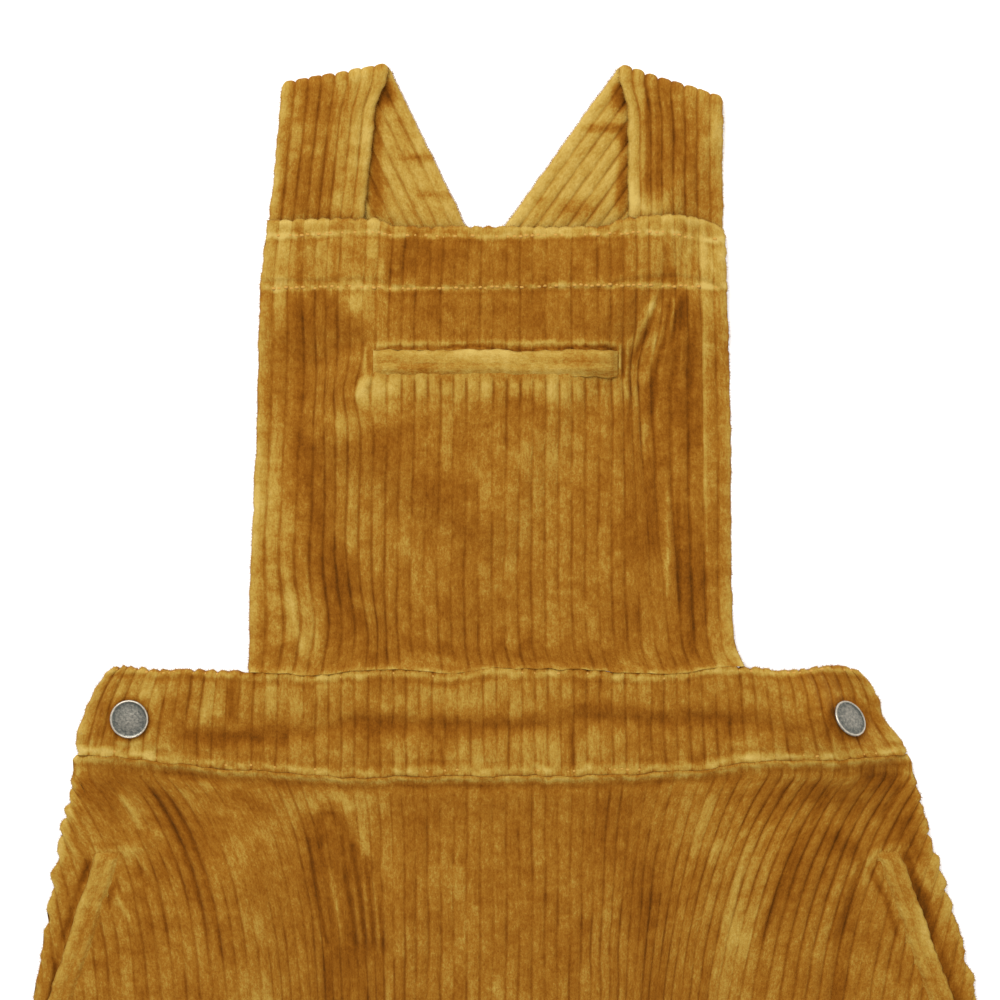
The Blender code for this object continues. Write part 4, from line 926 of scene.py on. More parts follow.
def column_top(at_waist):
    """Where a wale's column starts: at the waistband, or lower, on the skirt's side edge."""
    side = np.where(at_waist > 0, 1, -1)
    from_band = waist_bottom(at_waist) + CLOSED_SEAM / 2
    on_edge = solve(lambda down: side * (skirt_side(side, down) - wale_across(at_waist, down)),
                    from_band, np.full(from_band.shape, SHOULDER_TO_HEM))
    return np.where(np.abs(at_waist) <= np.abs(skirt_side(side, from_band)), from_band, on_edge)


def column_hem(at_waist):
    return hem_down(wale_across(at_waist, SHOULDER_TO_HEM))


def inside_skirt(across, down):
    """Distance in from the skirt's side edge."""
    return np.abs(skirt_side(np.where(across > 0, 1, -1), down)) - np.abs(across)


def skirt_loft(across, down):
    """Soft folds that open towards the hem, flat at the side edges."""
    below = down - waist_bottom(across)
    share = np.clip(below / (SHOULDER_TO_HEM - waist_bottom(0.0)), 0.0, 1.0)
    height = 0.0
    for fold in FOLDS:
        middle = mix(fold.waist, fold.hem, share)
        width = mix(fold.narrow, fold.wide, share)
        grown = ramp((below - fold.starts) / LOFT_GROWS)
        height = height + fold.height * grown * hill(across - middle, width)
    return height * ramp(inside_skirt(across, down) / LOFT_SIDE)


def under_skirt(across, down):
    """Height of the front skirt's inside."""
    below = np.maximum(down - waist_bottom(across), 0.0)
    seam = np.maximum(under_band(across, waist_bottom(across)) - SKIRT_UNDER, 0.0)
    seam = seam * mix(SIDE_SEAM_LEFT, 1.0, ramp(inside_skirt(across, down) / SIDE_SEAM_GROWS))
    return SKIRT_UNDER + seam * hill(below, SEAM_SETTLES) + skirt_loft(across, down)


def plain_skirt_top(across, down):
    """Height of the front skirt's face in its grooves, before it is creased."""
    pressed = HEM_PRESS_DEPTH * hill(hem_down(across) - down - SKIRT_TURNED_HEM, HEM_PRESS_HALF)
    return under_skirt(across, down) + CLOTH - pressed


def skirt_top(across, down):
    rise, _ = crease_effect(SKIRT_CREASES, across, down)
    return plain_skirt_top(across, down) + np.maximum(rise, -DEEPEST_CREASE)


# Meshes -------------------------------------------------------------------------------------------

def grid_faces(first, columns, rows):
    """Quads between the points of a grid whose points are stored column by column."""
    at = first + np.arange(columns * rows).reshape(columns, rows)
    return np.stack([at[:-1, :-1], at[1:, :-1], at[1:, 1:], at[:-1, 1:]], -1).reshape(-1, 4)


def ring_faces(first, rings, sides):
    """Quads between closed rings of points that are stored one after another."""
    at = first + np.arange(rings * sides).reshape(rings, sides)
    ahead = np.roll(at, -1, axis=1)
    quads = np.stack([at[:-1], ahead[:-1], ahead[1:], at[1:]], -1)
    return quads.reshape(-1, 4).tolist()


def zip_edges(first, second):
    """Triangles between two runs of points that go the same way but have unlike counts."""
    faces = []
    i = j = 0
    while i < len(first) - 1 or j < len(second) - 1:
        next_first = (i + 1) / max(len(first) - 1, 1)
        next_second = (j + 1) / max(len(second) - 1, 1)
        if j == len(second) - 1 or (i < len(first) - 1 and next_first <= next_second):
            faces.append((first[i], first[i + 1], second[j]))
            i += 1
        else:
            faces.append((first[i], second[j + 1], second[j]))
            j += 1
    return faces


def thin_out(count, step):
    """Every step-th index, with the last one always kept."""
    return np.array(list(range(0, count - 1, step)) + [count - 1])


def add_piece(name, points, faces, material, attributes=None):
    """One closed mesh from (across, down, height) points, riding on the frame's only body."""
    places = np.stack([points[:, 0], ORIGIN_DOWN - points[:, 1], points[:, 2]], -1) * MM
    mesh = bpy.data.meshes.new(name)
    mesh.from_pydata(places.tolist(), [], [list(face) for face in faces])
    for label, values in (attributes or {}).items():
        kind = "FLOAT_VECTOR" if values.ndim == 2 else "FLOAT"
        field = mesh.attributes.new(label, kind, "POINT")
        field.data.foreach_set("vector" if values.ndim == 2 else "value",
                               np.ascontiguousarray(values, np.float32).ravel())
    build = bmesh.new()
    build.from_mesh(mesh)
    bmesh.ops.recalc_face_normals(build, faces=build.faces)
    build.to_mesh(mesh)
    build.free()
    mesh.shade_smooth()
    mesh.materials.append(material)
    piece = bpy.data.objects.new(name, mesh)
    bpy.context.scene.collection.objects.link(piece)
    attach(piece, "root")
    return piece


def add_cloth(name, grid, low, fields, column_step, row_step):
    """A wall of cloth: grid is its face as (across, down, height), low is its inside's height.

    fields are the face's tone, with its painted light and shade, and its groove mask, which paints
    shade in the grooves, and the place on the cut cloth as (across, down). The inside has only every
    column_step-th column and every row_step-th row.
    """
    across, down, high, low, tone, groove, cut_across, cut_down = np.broadcast_arrays(
        *grid, low, *fields)
    columns, rows = across.shape
    pick = np.ix_(thin_out(columns, column_step), thin_out(rows, row_step))
    outer = np.stack([across, down, high], -1).reshape(-1, 3)
    inner = np.stack([across[pick], down[pick], low[pick]], -1)
    count = columns * rows
    top = np.arange(count).reshape(columns, rows)
    under = count + np.arange(inner[..., 0].size).reshape(inner.shape[:2])
    inner = inner.reshape(-1, 3)
    faces = grid_faces(0, columns, rows).tolist() + grid_faces(count, *under.shape).tolist()
    for outer_edge, inner_edge in ((top[:, 0], under[:, 0]), (top[:, -1], under[:, -1]),
                                   (top[0], under[0]), (top[-1], under[-1])):
        faces += zip_edges(outer_edge.tolist(), inner_edge.tolist())
    face_place = np.stack([cut_across, cut_down, cut_down * 0.0], -1)
    inside_place = (face_place[pick] + (0.0, 0.0, 1.0)).reshape(-1, 3)
    attributes = {
        "tone": np.concatenate([tone.ravel(), tone[pick].ravel() * 0.3]),
        # groove: the mask for painted shade in the grooves
        "groove": np.concatenate([groove.ravel(), np.zeros(len(inner))]),
        "cloth": np.concatenate([face_place.reshape(-1, 3), inside_place]) * MM,
    }
    return add_piece(name, np.concatenate([outer, inner]), faces, CORDUROY, attributes)


# Pile that stands out from a free edge ------------------------------------------------------------

FIBRES_PER_MM = 2.4
FIBRE_LENGTH = 0.62
FIBRE_WIDTH = 0.3
FIBRE_LEAN = 0.8          # sideways, at the most, for each unit outwards
FIBRE_ROOT = 0.5          # a tuft starts this far inside the edge
EDGE_REACH = 0.8          # the edge's direction is taken between places this far to both sides
LOWEST_FIBRE = 0.05
TUFT_FACES = ((0, 1, 2), (0, 2, 3), (1, 3, 2), (0, 3, 1))
Edge = namedtuple("Edge", "points outward")      # (across, down, height) points; which side is out


def edge_of(grid, column=None, row=None, outward=1):
    """One edge of a (across, down, height) grid."""
    if column is not None:
        points = np.stack([part[column, :] for part in grid], -1)
    else:
        points = np.stack([part[:, row] for part in grid], -1)
    return Edge(points, outward)


def run_lengths(run):
    """The distance of each point of a run from its first one."""
    return np.concatenate([[0.0], np.cumsum(np.hypot(*np.diff(run[:, :2], axis=0).T))])


def on_run(run, lengths, at):
    """The points at these distances along a run."""
    return np.stack([np.interp(at, lengths, part) for part in run.T], -1)


def directions(ways):
    """(across, down) steps made one millimetre long."""
    return ways / np.maximum(np.hypot(ways[:, 0], ways[:, 1]), 1e-6)[:, None]


def make_pile(name, edges):
    """Short slim tufts, each a closed spike, that lean out over the edges."""
    points, tones = [], []
    for number, edge in enumerate(edges):
        lengths = run_lengths(edge.points)
        index = np.arange(int(lengths[-1] * FIBRES_PER_MM), dtype=float)
        moved, lean, longer, lift, tone = (scatter(index, part, number) for part in range(1, 6))
        at = (index + 0.5 + 0.5 * moved) / FIBRES_PER_MM
        roots, ahead, behind = (on_run(edge.points, lengths, at + reach)
                                for reach in (0.0, EDGE_REACH, -EDGE_REACH))
        along = directions((ahead - behind)[:, :2])
        out = np.stack([-along[:, 1], along[:, 0]], -1) * edge.outward
        way = (out + along * FIBRE_LEAN * lean[:, None]) * FIBRE_LENGTH * (1.0 + 0.6 * longer)[:, None]
        tip = roots + np.column_stack([way, 0.25 * lift])
        base = roots - np.column_stack([out * FIBRE_ROOT, lift * 0.0])
        side = np.column_stack([along * FIBRE_WIDTH / 2, lift * 0.0])
        up = np.array([0.0, 0.0, FIBRE_WIDTH])
        points.append(np.stack([base - side, base + side, base + up, tip], 1).reshape(-1, 3))
        tones.append(np.repeat(0.1 + 0.7 * tone, 4))
    points, tones = np.concatenate(points), np.concatenate(tones)
    points[:, 2] = np.maximum(points[:, 2], LOWEST_FIBRE)
    first = np.arange(0, len(points), 4)[:, None]
    faces = np.concatenate([first + corners for corners in TUFT_FACES]).tolist()
    attributes = {"tone": tones, "groove": tones * 0.0, "cloth": points * MM}
    return add_piece(name, points, faces, CORDUROY, attributes)


# Materials ----------------------------------------------------------------------------------------

class Shading:
    """A new material, with short ways to add to its nodes."""

    def __init__(self, name):
        self.material = bpy.data.materials.new(name)
        self.material.use_nodes = True
        self.nodes = self.material.node_tree.nodes
        self.links = self.material.node_tree.links
        self.shader = self.nodes["Principled BSDF"]

    def fill(self, node, inputs):
        """Each input, by its name or number, gets a constant or another node's output."""
        for socket, value in inputs.items():
            if isinstance(value, bpy.types.NodeSocket):
                self.links.new(value, node.inputs[socket])
            else:
                node.inputs[socket].default_value = value
        return node

    def add(self, kind, inputs):
        return self.fill(self.nodes.new(kind), inputs)

    def attribute(self, label):
        node = self.nodes.new("ShaderNodeAttribute")
        node.attribute_name = label
        return node

    def maths(self, operation, *values):
        node = self.add("ShaderNodeMath", dict(enumerate(values)))
        node.operation = operation
        return node.outputs[0]

    def noise(self, place, scale, detail, roughness):
        inputs = {"Vector": place, "Scale": scale, "Detail": detail, "Roughness": roughness}
        return self.add("ShaderNodeTexNoise", inputs).outputs["Fac"]

    def stretched(self, place, down):
        return self.add("ShaderNodeMapping", {"Vector": place, "Scale": (1.0, down, 1.0)}).outputs[0]

    def colour(self, share, stops):
        """The surface's colour runs through stops of (position, colour)."""
        colours = self.add("ShaderNodeValToRGB", {"Fac": share})
        elements = colours.color_ramp.elements
        while len(elements) < len(stops):
            elements.new(0.5)
        for element, (position, shade) in zip(elements, stops):
            element.position = position
            element.color = shade
        self.fill(self.shader, {"Base Color": colours.outputs["Color"]})

    def bump(self, height, strength, distance):
        inputs = {"Height": height, "Strength": strength, "Distance": distance}
        node = self.add("ShaderNodeBump", inputs)
        self.fill(self.shader, {"Normal": node.outputs["Normal"]})


def linear(red, green, blue):
    """A colour as the eye reads it in a picture, 0 to 255, as a shader's colour."""
    shares = [value / 255.0 for value in (red, green, blue)]
    return [share / 12.92 if share <= 0.04045 else ((share + 0.055) / 1.055) ** 2.4
            for share in shares] + [1.0]


MATT = {"Roughness": 0.95, "Specular IOR Level": 0.08}
Grain = namedtuple("Grain", "scale detail roughness strength")
STREAKS = Grain(scale=1100.0, detail=2.0, roughness=0.6, strength=1.1)
BLOTCHES = Grain(scale=330.0, detail=3.0, roughness=0.6, strength=2.0)
TUFTS = Grain(scale=950.0, detail=3.0, roughness=0.65, strength=2.9)
PILE = Grain(scale=2600.0, detail=2.0, roughness=0.6, strength=2.2)
STREAK_STRETCH = 0.12
GRAIN_STRETCH = 0.6
CALM_WHERE_BRUSHED = -0.24
GROOVE_SHADE = -1.02
ToneStop = namedtuple("ToneStop", "tone red green blue")
TONES = table(ToneStop, (
    (-3.0, 92, 50, 4), (-1.8, 120, 67, 7), (-0.9, 138, 83, 16), (0.0, 155, 103, 29),
    (1.0, 175, 138, 57), (2.2, 201, 171, 92),
))
TONE_RANGE = (-3.0, 3.0)


def corduroy_material():
    """Cotton pile: toned by its brushed nap and by painted light and shade, with painted shade in the
    grooves and a soft sheen.
    """
    look = Shading("mustard_corduroy")
    cloth = look.attribute("cloth").outputs["Vector"]
    place = look.stretched(cloth, GRAIN_STRETCH)
    streak_place = look.stretched(cloth, STREAK_STRETCH)
    grains = {grain: look.noise(streak_place if grain is STREAKS else place, *grain[:3])
              for grain in (STREAKS, BLOTCHES, TUFTS, PILE)}
    tone = look.attribute("tone").outputs["Fac"]
    calm = look.maths("MULTIPLY_ADD", look.maths("MAXIMUM", tone, 0.0), CALM_WHERE_BRUSHED, 1.0)
    for grain, value in grains.items():
        centred = look.maths("MULTIPLY", look.maths("SUBTRACT", value, 0.5), calm)
        tone = look.maths("MULTIPLY_ADD", centred, grain.strength, tone)
    # painted shade in the grooves: the groove attribute darkens the colour, ragged by the tufts and
    # less where the nap is brushed light
    ragged = look.maths("MULTIPLY_ADD", grains[TUFTS], 1.2, 0.5)
    dark = look.maths("MULTIPLY", look.attribute("groove").outputs["Fac"], ragged)
    tone = look.maths("MULTIPLY_ADD", look.maths("MULTIPLY", dark, calm), GROOVE_SHADE, tone)
    span = TONE_RANGE[1] - TONE_RANGE[0]
    share = look.maths("MULTIPLY_ADD", tone, 1.0 / span, -TONE_RANGE[0] / span)
    look.colour(share, [((stop.tone - TONE_RANGE[0]) / span,
                         linear(stop.red, stop.green, stop.blue)) for stop in TONES])
    look.bump(look.maths("MULTIPLY_ADD", grains[PILE], 0.5, grains[TUFTS]), 0.8, 0.0005)
    look.fill(look.shader, MATT)
    look.fill(look.shader, {"Sheen Weight": 0.14, "Sheen Roughness": 0.45,
                            "Sheen Tint": linear(250, 214, 130)})
    return look.material


def thread_material():
    """Pale twisted sewing thread."""
    look = Shading("pale_thread")
    place = look.nodes.new("ShaderNodeTexCoord").outputs["Object"]
    twist = look.noise(place, scale=2400.0, detail=2.0, roughness=0.5)
    look.colour(twist, ((0.0, linear(182, 132, 52)), (1.0, linear(210, 166, 88))))
    look.bump(twist, strength=0.4, distance=0.0001)
    look.fill(look.shader, MATT)
    return look.material


def metal_material():
    """Pressed nickel-grey metal, slightly grained, with a painted highlight on the raised rim, painted
    shade in the dip inside it, and darker in the middle.
    """
    look = Shading("nickel_snap")
    place = look.nodes.new("ShaderNodeTexCoord").outputs["Object"]
    grain = look.noise(place, scale=900.0, detail=4.0, roughness=0.7)
    uneven = look.maths("SUBTRACT", grain, 0.5)
    # the rim attribute is painted light: a highlight on the raised rim, shade in the dip inside it
    share = look.maths("MULTIPLY_ADD", uneven, 1.3, look.attribute("rim").outputs["Fac"])
    look.colour(share, ((0.0, linear(92, 94, 88)), (1.0, linear(212, 202, 184))))
    look.bump(grain, strength=0.6, distance=0.0003)
    look.fill(look.shader, {"Metallic": 1.0, "Roughness": 0.38})
    return look.material


CORDUROY = corduroy_material()
THREAD = thread_material()
METAL = metal_material()


# Panels -------------------------------------------------------------------------------------------

EDGE_ROWS = (0.0, 0.25, 0.6, 1.1, 1.7)    # rows crowd together at both ends of a panel


def steps(length, coarse, fine=None, fine_spans=()):
    """Row places along a length, closer together in the spans where something happens."""
    places = list(EDGE_ROWS)
    while places[-1] < length - 2.4:
        here = places[-1]
        close = any(start - coarse < here < end for start, end in fine_spans)
        places.append(here + (fine if close else coarse))
    places = [place for place in places if place < length - 1.9]
    return np.array(places + [length - gap for gap in reversed(EDGE_ROWS)])


def edge_light_and_shade(distance):
    """Painted light on a turned edge's rounded face, where the pile stands away from it, and painted
    shade at its very rim.
    """
    return 0.6 * hill(distance - 1.1, 1.7) - 0.2 * hill(distance, 0.5)


def panel_tone(patches, across, middle, ragged_down, feel, places, shown, to_edge):
    """The tone of a panel's nap, with painted light and shade on its wales and edges, but for its
    creases and stitches.
    """
    brushed = patches_tone(patches, mix(across, middle, KEEPS_TO_WALES), ragged_down)
    return brushed + feel + wale_light_and_shade(places, shown) + edge_light_and_shade(to_edge)


def make_bib():
    """The bib: its turned hem is sewn in two rows, and its wales start afresh under the pocket."""
    places = wale_places(0.0, float(BIB_WALES))[:, None]
    rows = steps(BIB_LENGTH, coarse=1.7, fine=0.75,
                 fine_spans=((3.0, 8.5), (21.0, 28.0), (46.0, 54.0)))[None, :]
    crest, groove = wale_section(places)
    groove = np.where((places == 0) | (places == BIB_WALES), 0.0, groove)
    height, feel = wale_feel(places, rows, 11)
    to_side = np.minimum(places, BIB_WALES - places) * WALE_PITCH
    to_edge = np.minimum(to_side, rows)
    to_waist = BIB_LENGTH - rows
    calm = ramp(to_side / 6.0)
    side = np.where(places < BIB_WALES / 2, -1, 1)

    across, down = bib_place(places / BIB_WALES, rows)
    middle, _ = bib_place(middle_of_wale(places, BIB_WALES), rows)
    sway = (WOBBLE * noise(places * 0.45, rows / 15.0, 17) + pulled(BIB_PULLS, across, down)) * calm
    sway = sway + side * fray(rows + side * 300.0, to_side, 18)
    down = down + (waist_top(across + sway) - waist_top(across)) * ramp(1.0 - to_waist / 20.0)
    across, middle = across + sway, middle + sway

    ragged = 0.35 * waves(places * 2.1, 19)
    upper, lower = (down - on_dress(0, follow(row, "x", "y", across / PIXEL + CENTRE_X))[1] + ragged
                    for row in (BIB_UPPER_ROW, BIB_LOWER_ROW))
    stitched = hill(upper, 1.15) + hill(lower, 1.25)
    beside = hill(upper - 2.1, 0.8) + hill(lower - 2.1, 0.8)
    lump = 0.72 + 0.8 * noise(places * 2.1, rows / 1.6, 20)

    shown = shown_grooves(0.5, BIB_GROOVES, across, down, places, 23) * mix(0.3, 1.0, ramp(rows / 7.0))
    low = under_bib(across, down)
    face = ribbed(bib_top(across, down), crest, groove, shown, 0.35 * stitched)
    face = face + height + 0.28 * stitched * lump - 0.3 * beside + 1.5 * hill(to_waist, 1.5)
    face = low + (face - low) * rounded(to_edge)
    down = down - 0.7 * scallop(places, rows, 24) * calm

    row = POCKET_ROW
    lumps = np.exp(-np.abs((down - row.down) / (row.long * (1.0 + 0.3 * each_wale(places, 25)))) ** 3)
    lumps = lumps * ramp((across - row.left) / 5.0) * ramp((row.right - across) / 6.0)
    lumps = lumps * (1.0 + 0.35 * noise(places * 1.3, rows / 3.0, 26))
    face = face + 0.3 * lumps * crest
    shown = np.clip(shown + 0.3 * lumps, 0.0, MOST_OPEN)

    ragged_down = down + 3.4 * each_wale(places, 21) + 2.0 * noise(places * 1.1, rows / 6.0, 22)
    tone = panel_tone(BIB_PATCHES, across, middle, ragged_down, feel, places, shown, to_edge)
    tone = tone + crease_effect(BIB_CREASES, across, down + rim_wander(across, down))[1]
    # painted light on the raised stitched rows, on the lumps under the pocket and on the raised bottom
    # edge at the waist; painted shade in the troughs beside the rows
    tone = tone + 1.3 * stitched * lump - 0.4 * beside + 0.7 * lumps
    tone = tone + 1.1 * hill(to_waist, 1.3) * lump - 0.1
    groove = groove * shown * (1.0 - 0.8 * stitched) * ramp(to_side / 2.0) * ramp(to_waist / 2.5)
    grid = (across, down, face)
    piece = add_cloth("bib", grid, low, (tone, groove, places * WALE_PITCH, rows), 3, 3)
    edges = [edge_of(grid, column=0, outward=1), edge_of(grid, column=-1, outward=-1),
             edge_of(grid, row=0, outward=-1)]
    return piece, make_pile("bib_pile", edges)


def make_front_band():
    """The front waistband, sewn to the bib and the skirt, its top edge free outside the bib."""
    places = wale_places(0.0, float(WAISTBAND_WALES))[:, None]
    rows = steps(BAND_DEPTH, coarse=1.3, fine=0.8, fine_spans=((0.0, 5.0), (32.0, 38.0)))[None, :]
    to_skirt = BAND_DEPTH - rows
    crest, groove = wale_section(places)
    height, feel = wale_feel(places, rows, 31)
    to_side = np.minimum(places, WAISTBAND_WALES - places) * WALE_PITCH
    calm = ramp(to_side / 6.0)
    side = np.where(places < WAISTBAND_WALES / 2, -1, 1)

    across, down = band_place(places / WAISTBAND_WALES, rows / BAND_DEPTH)
    middle, _ = band_place(middle_of_wale(places, WAISTBAND_WALES), rows / BAND_DEPTH)
    sway = WOBBLE * 1.2 * noise(places * 0.45, rows / 12.0, 37) * calm
    sway = sway + side * fray(rows + side * 300.0, to_side, 38)
    sway = sway + side * 0.5 * noise(rows / 4.4, rows * 0.0 + side, 35) * fade(to_side, 3.0)
    corner = ramp(1.0 - rows / 5.0) ** 2 + ramp(1.0 - to_skirt / 5.0) ** 2
    sway = sway - side * 1.8 * corner * fade(to_side, 4.0)
    down = down + (waist_top(across + sway) - waist_top(across)) * (1.0 - rows / BAND_DEPTH)
    down = down + (waist_bottom(across + sway) - waist_bottom(across)) * rows / BAND_DEPTH
    across, middle = across + sway, middle + sway

    ragged = 0.5 * waves(places * 2.1, 39) + 0.4 * waves(places * 0.4, 36)
    lump = 0.75 + 0.5 * noise(places * 1.9, rows / 2.0, 40)
    upper, lower = rows - 1.5 + ragged, to_skirt - 1.9 + ragged
    stitched = hill(upper, 1.1) + hill(lower, 1.5)
    beside = hill(upper - 2.4, 0.8) + 0.6 * hill(lower - 3.0, 0.9)

    shown = shown_grooves(0.55, BAND_GROOVES, across, down, places, 43)
    low = under_band(across, down)
    face = ribbed(band_top(across, down), crest, groove, shown, 0.3 * stitched)
    face = face + height + 0.35 * stitched * lump - 0.25 * beside
    free = climb(BAND_TOP_FREE, np.abs(across))
    sewn = rounded(to_skirt, skirt_seam_left(across))
    sewn = sewn * mix(rounded(rows, BIB_SEAM_LEFT), rounded(rows), free)
    face = low + (face - low) * rounded(to_side) * sewn
    down = down - scallop(places, rows, 44) * calm * mix(0.06, 1.0, free)

    ragged_down = down + 1.8 * each_wale(places, 41)
    tone = panel_tone(BAND_PATCHES, across, middle, ragged_down, feel, places, shown, to_side)
    tone = tone + crease_effect(BAND_CREASES, across, down)[1]
    # painted light on the raised stitched rows, painted shade in the troughs beside them
    tone = tone + 1.15 * stitched * lump - 0.35 * beside
    # painted shade on the cloth round each snap cap
    for snap in SNAPS.values():
        off_cap = np.hypot(across - snap.across, down - snap.down) - SNAP_RADIUS
        tone = tone - 1.2 * hill(np.maximum(off_cap, 0.0), 1.4)
    groove = groove * shown * (1.0 - 0.6 * stitched) * ramp(to_side / 2.0)
    grid = (across, down, face)
    piece = add_cloth("waistband", grid, low, (tone, groove, places * WALE_PITCH, rows), 3, 4)
    top = edge_of(grid, row=0, outward=-1).points
    edges = [edge_of(grid, column=0, outward=1), edge_of(grid, column=-1, outward=-1),
             Edge(top[top[:, 0] < BIB_ENDS_LEFT], -1), Edge(top[top[:, 0] > BIB_ENDS_RIGHT], -1)]
    return piece, make_pile("waistband_pile", edges)


def skirt_reach(side):
    """How many wales out along the waist the last wale of a side would start."""
    return float(solve(
        lambda place: column_top(side * place) + SHORTEST_COLUMN - column_hem(side * place),
        NARROWEST_WAIST, WIDEST_WAIST)) / WALE_PITCH


def skirt_grid(places, rows):
    """(across, down) of the skirt's columns, each from its own top to the hem."""
    at_waist = places * WALE_PITCH
    top, hem = column_top(at_waist), column_hem(at_waist)
    down = mix(top, hem, rows)
    across = wale_across(at_waist, down)
    last = (hem - top) < SHORTEST_COLUMN + COLUMN_SLACK
    side = np.where(at_waist > 0, 1, -1)
    return np.where(last, skirt_side(side, down), across), down


def skirt_rows(length):
    """Row places down the skirt: close together at the waist, finer again above the hem."""
    waist = [0.0, 0.3, 0.7, 1.2] + list(np.arange(1.8, 74.0, 1.9))
    middle = list(np.arange(76.0, length - 30.0, 5.2))
    hem = list(np.arange(length - 27.0, length - 2.0, 2.4)) + [length - 1.1, length - 0.5, length]
    return np.array(waist + middle + hem)


def make_front_skirt():
    """The front panel: its wales start at the waistband or, further out, on the side edges."""
    places = wale_places(-skirt_reach(-1), skirt_reach(1))[:, None]
    length = SHOULDER_TO_HEM - float(waist_bottom(0.0))
    rows = skirt_rows(length)[None, :] / length
    crest, groove = wale_section(places)
    across, down = skirt_grid(places, rows)
    height, feel = wale_feel(places, down, 51)
    middle, _ = skirt_grid(np.floor(places) + 0.5, rows)
    top = down[:, :1]
    from_top = down - top
    to_hem = hem_down(across) - down
    to_side = np.maximum(inside_skirt(across, down), 0.0)
    below = down - waist_bottom(across)
    under_seam = np.maximum(below, 0.0)
    starts_lower = top - waist_bottom(places * WALE_PITCH)
    from_side = np.abs(starts_lower) > 1.0
    to_edge = np.minimum(to_side, to_hem)
    to_edge = np.where(from_side, np.minimum(to_edge, from_top), to_edge)
    calm = ramp(to_side / 8.0) * ramp(below / 4.0)
    sway = WOBBLE * 1.2 * noise(places * 0.45, down / 15.0, 57) * calm
    across, middle = across + sway, middle + sway

    ragged = 0.5 * waves(places * 2.1, 59)
    lump = 0.75 + 0.5 * noise(places * 1.9, down / 2.0, 60)
    seam = hill(below - 1.4 + ragged, 1.1)
    beside = hill(below - 4.0 + ragged, 1.1)
    hem_row = hill(to_hem - SKIRT_TURNED_HEM, 0.9)

    shown = shown_grooves(0.5, SKIRT_GROOVES, across, down, places, 63) * ramp((below - 1.0) / 4.0)
    low = under_skirt(across, down)
    face = ribbed(skirt_top(across, down), crest, groove, shown, 0.35 * hem_row)
    face = face + height + 0.35 * seam * lump - 0.25 * beside
    face = face + 1.6 * hill(under_seam, 2.2) * ramp(to_side / 9.0)
    face = low + (face - low) * rounded(to_edge) * rounded(under_seam, skirt_seam_left(across))

    # the side edges: a bump at each wale's start, the corner at the waist, and smaller lumps
    outward = np.sign(across)
    bumps = 1.7 * (round_end(places) - 0.5) * (0.75 + 0.5 * each_wale(places, 64))
    bumps = bumps * ramp(starts_lower / 7.0) * fade(from_top, 3.6)
    bumps = bumps - 1.5 * np.exp(-under_seam / 2.4 - to_side / 4.0)
    lumps = 0.6 * noise(down / 5.2, outward, 67) + 0.5 * noise(down / 2.6, outward, 68)
    lumps = lumps * fade(to_side, 2.0) + 1.2 * fray(down + outward * 300.0, to_side, 65)
    across = across + outward * (bumps + lumps)
    down = down + scallop(places, np.maximum(to_hem, 0.0), 66)

    ragged_down = down + 3.4 * each_wale(places, 61) + 2.4 * noise(places * 1.1, down / 6.0, 62)
    tone = panel_tone(SKIRT_PATCHES, across, middle, ragged_down, feel, places, shown,
                      np.minimum(to_side, to_hem))
    tone = tone + crease_effect(SKIRT_CREASES, across, down)[1] - 0.1
    # painted light on the rounded wale ends along the side edges and on the raised seam under the
    # waistband, painted shade in the trough beside the seam, and lighter along the hem's stitch row
    tone = tone + 0.5 * from_side * fade(down - top, 2.0)
    tone = tone + (1.1 * seam - 0.6 * beside + 0.5 * hem_row) * lump
    groove = groove * shown * ramp(to_edge / 1.6)
    grid = (across, down, face)
    piece = add_cloth("skirt", grid, low, (tone, groove, places * WALE_PITCH, down), 3, 6)
    starts = edge_of(grid, row=0).points
    edges = [Edge(starts[from_side[:, 0] & (starts[:, 0] * side > 0)], -1) for side in (-1, 1)]
    return piece, make_pile("skirt_pile", edges + [edge_of(grid, row=-1, outward=1)])


BACK_SKIRT_WALES = 88
BACK_BAND_WALES = 52


def add_back_panel(name, across, down, level, ribs, places, to_edge, seed):
    """A panel that lies flat behind: its wales are pressed low, by ribs above and below level."""
    crest, groove = wale_section(places)
    height, feel = wale_feel(places, down, seed)
    face = (level + ribs * (crest - groove) + 0.3 * height) * rounded(to_edge)
    # painted light and shade on the wales' sides and the edges, and the groove mask for painted shade
    # in the grooves
    fields = (feel + wale_light_and_shade(places) + edge_light_and_shade(to_edge), groove * 0.8, places * WALE_PITCH, down)
    return add_cloth(name, (across, down, face), 0.0, fields, 9, 4)


def make_back_skirt():
    """The back panel, wales down the cloth: flat where it rests."""
    places = wale_places(0.0, float(BACK_SKIRT_WALES))[:, None]
    length = SHOULDER_TO_HEM - SKIRT_HEM_RISE - BACK_BAND.bottom
    rows = steps(length, coarse=6.0, fine=3.0, fine_spans=((length - 28.0, length),))[None, :]
    share = places / BACK_SKIRT_WALES
    down = mix(BACK_BAND.bottom + SEAM_GAP, SHOULDER_TO_HEM - SKIRT_HEM_RISE, rows / length)
    side = np.where(share < 0.5, -1, 1)
    across = (2 * share - 1) * (np.abs(skirt_side(side, down)) - BACK_INSET)
    trim = hem_down(across) - (SHOULDER_TO_HEM - SKIRT_HEM_RISE) - BACK_INSET
    down = down + trim * rows / length
    to_side = np.minimum(share, 1 - share) * 2 * np.abs(across).max()
    to_edge = np.minimum(to_side, length - rows)
    return add_back_panel("skirt_behind", across, down, BACK_CLOTH - 0.25, 0.2, places, to_edge, 71)


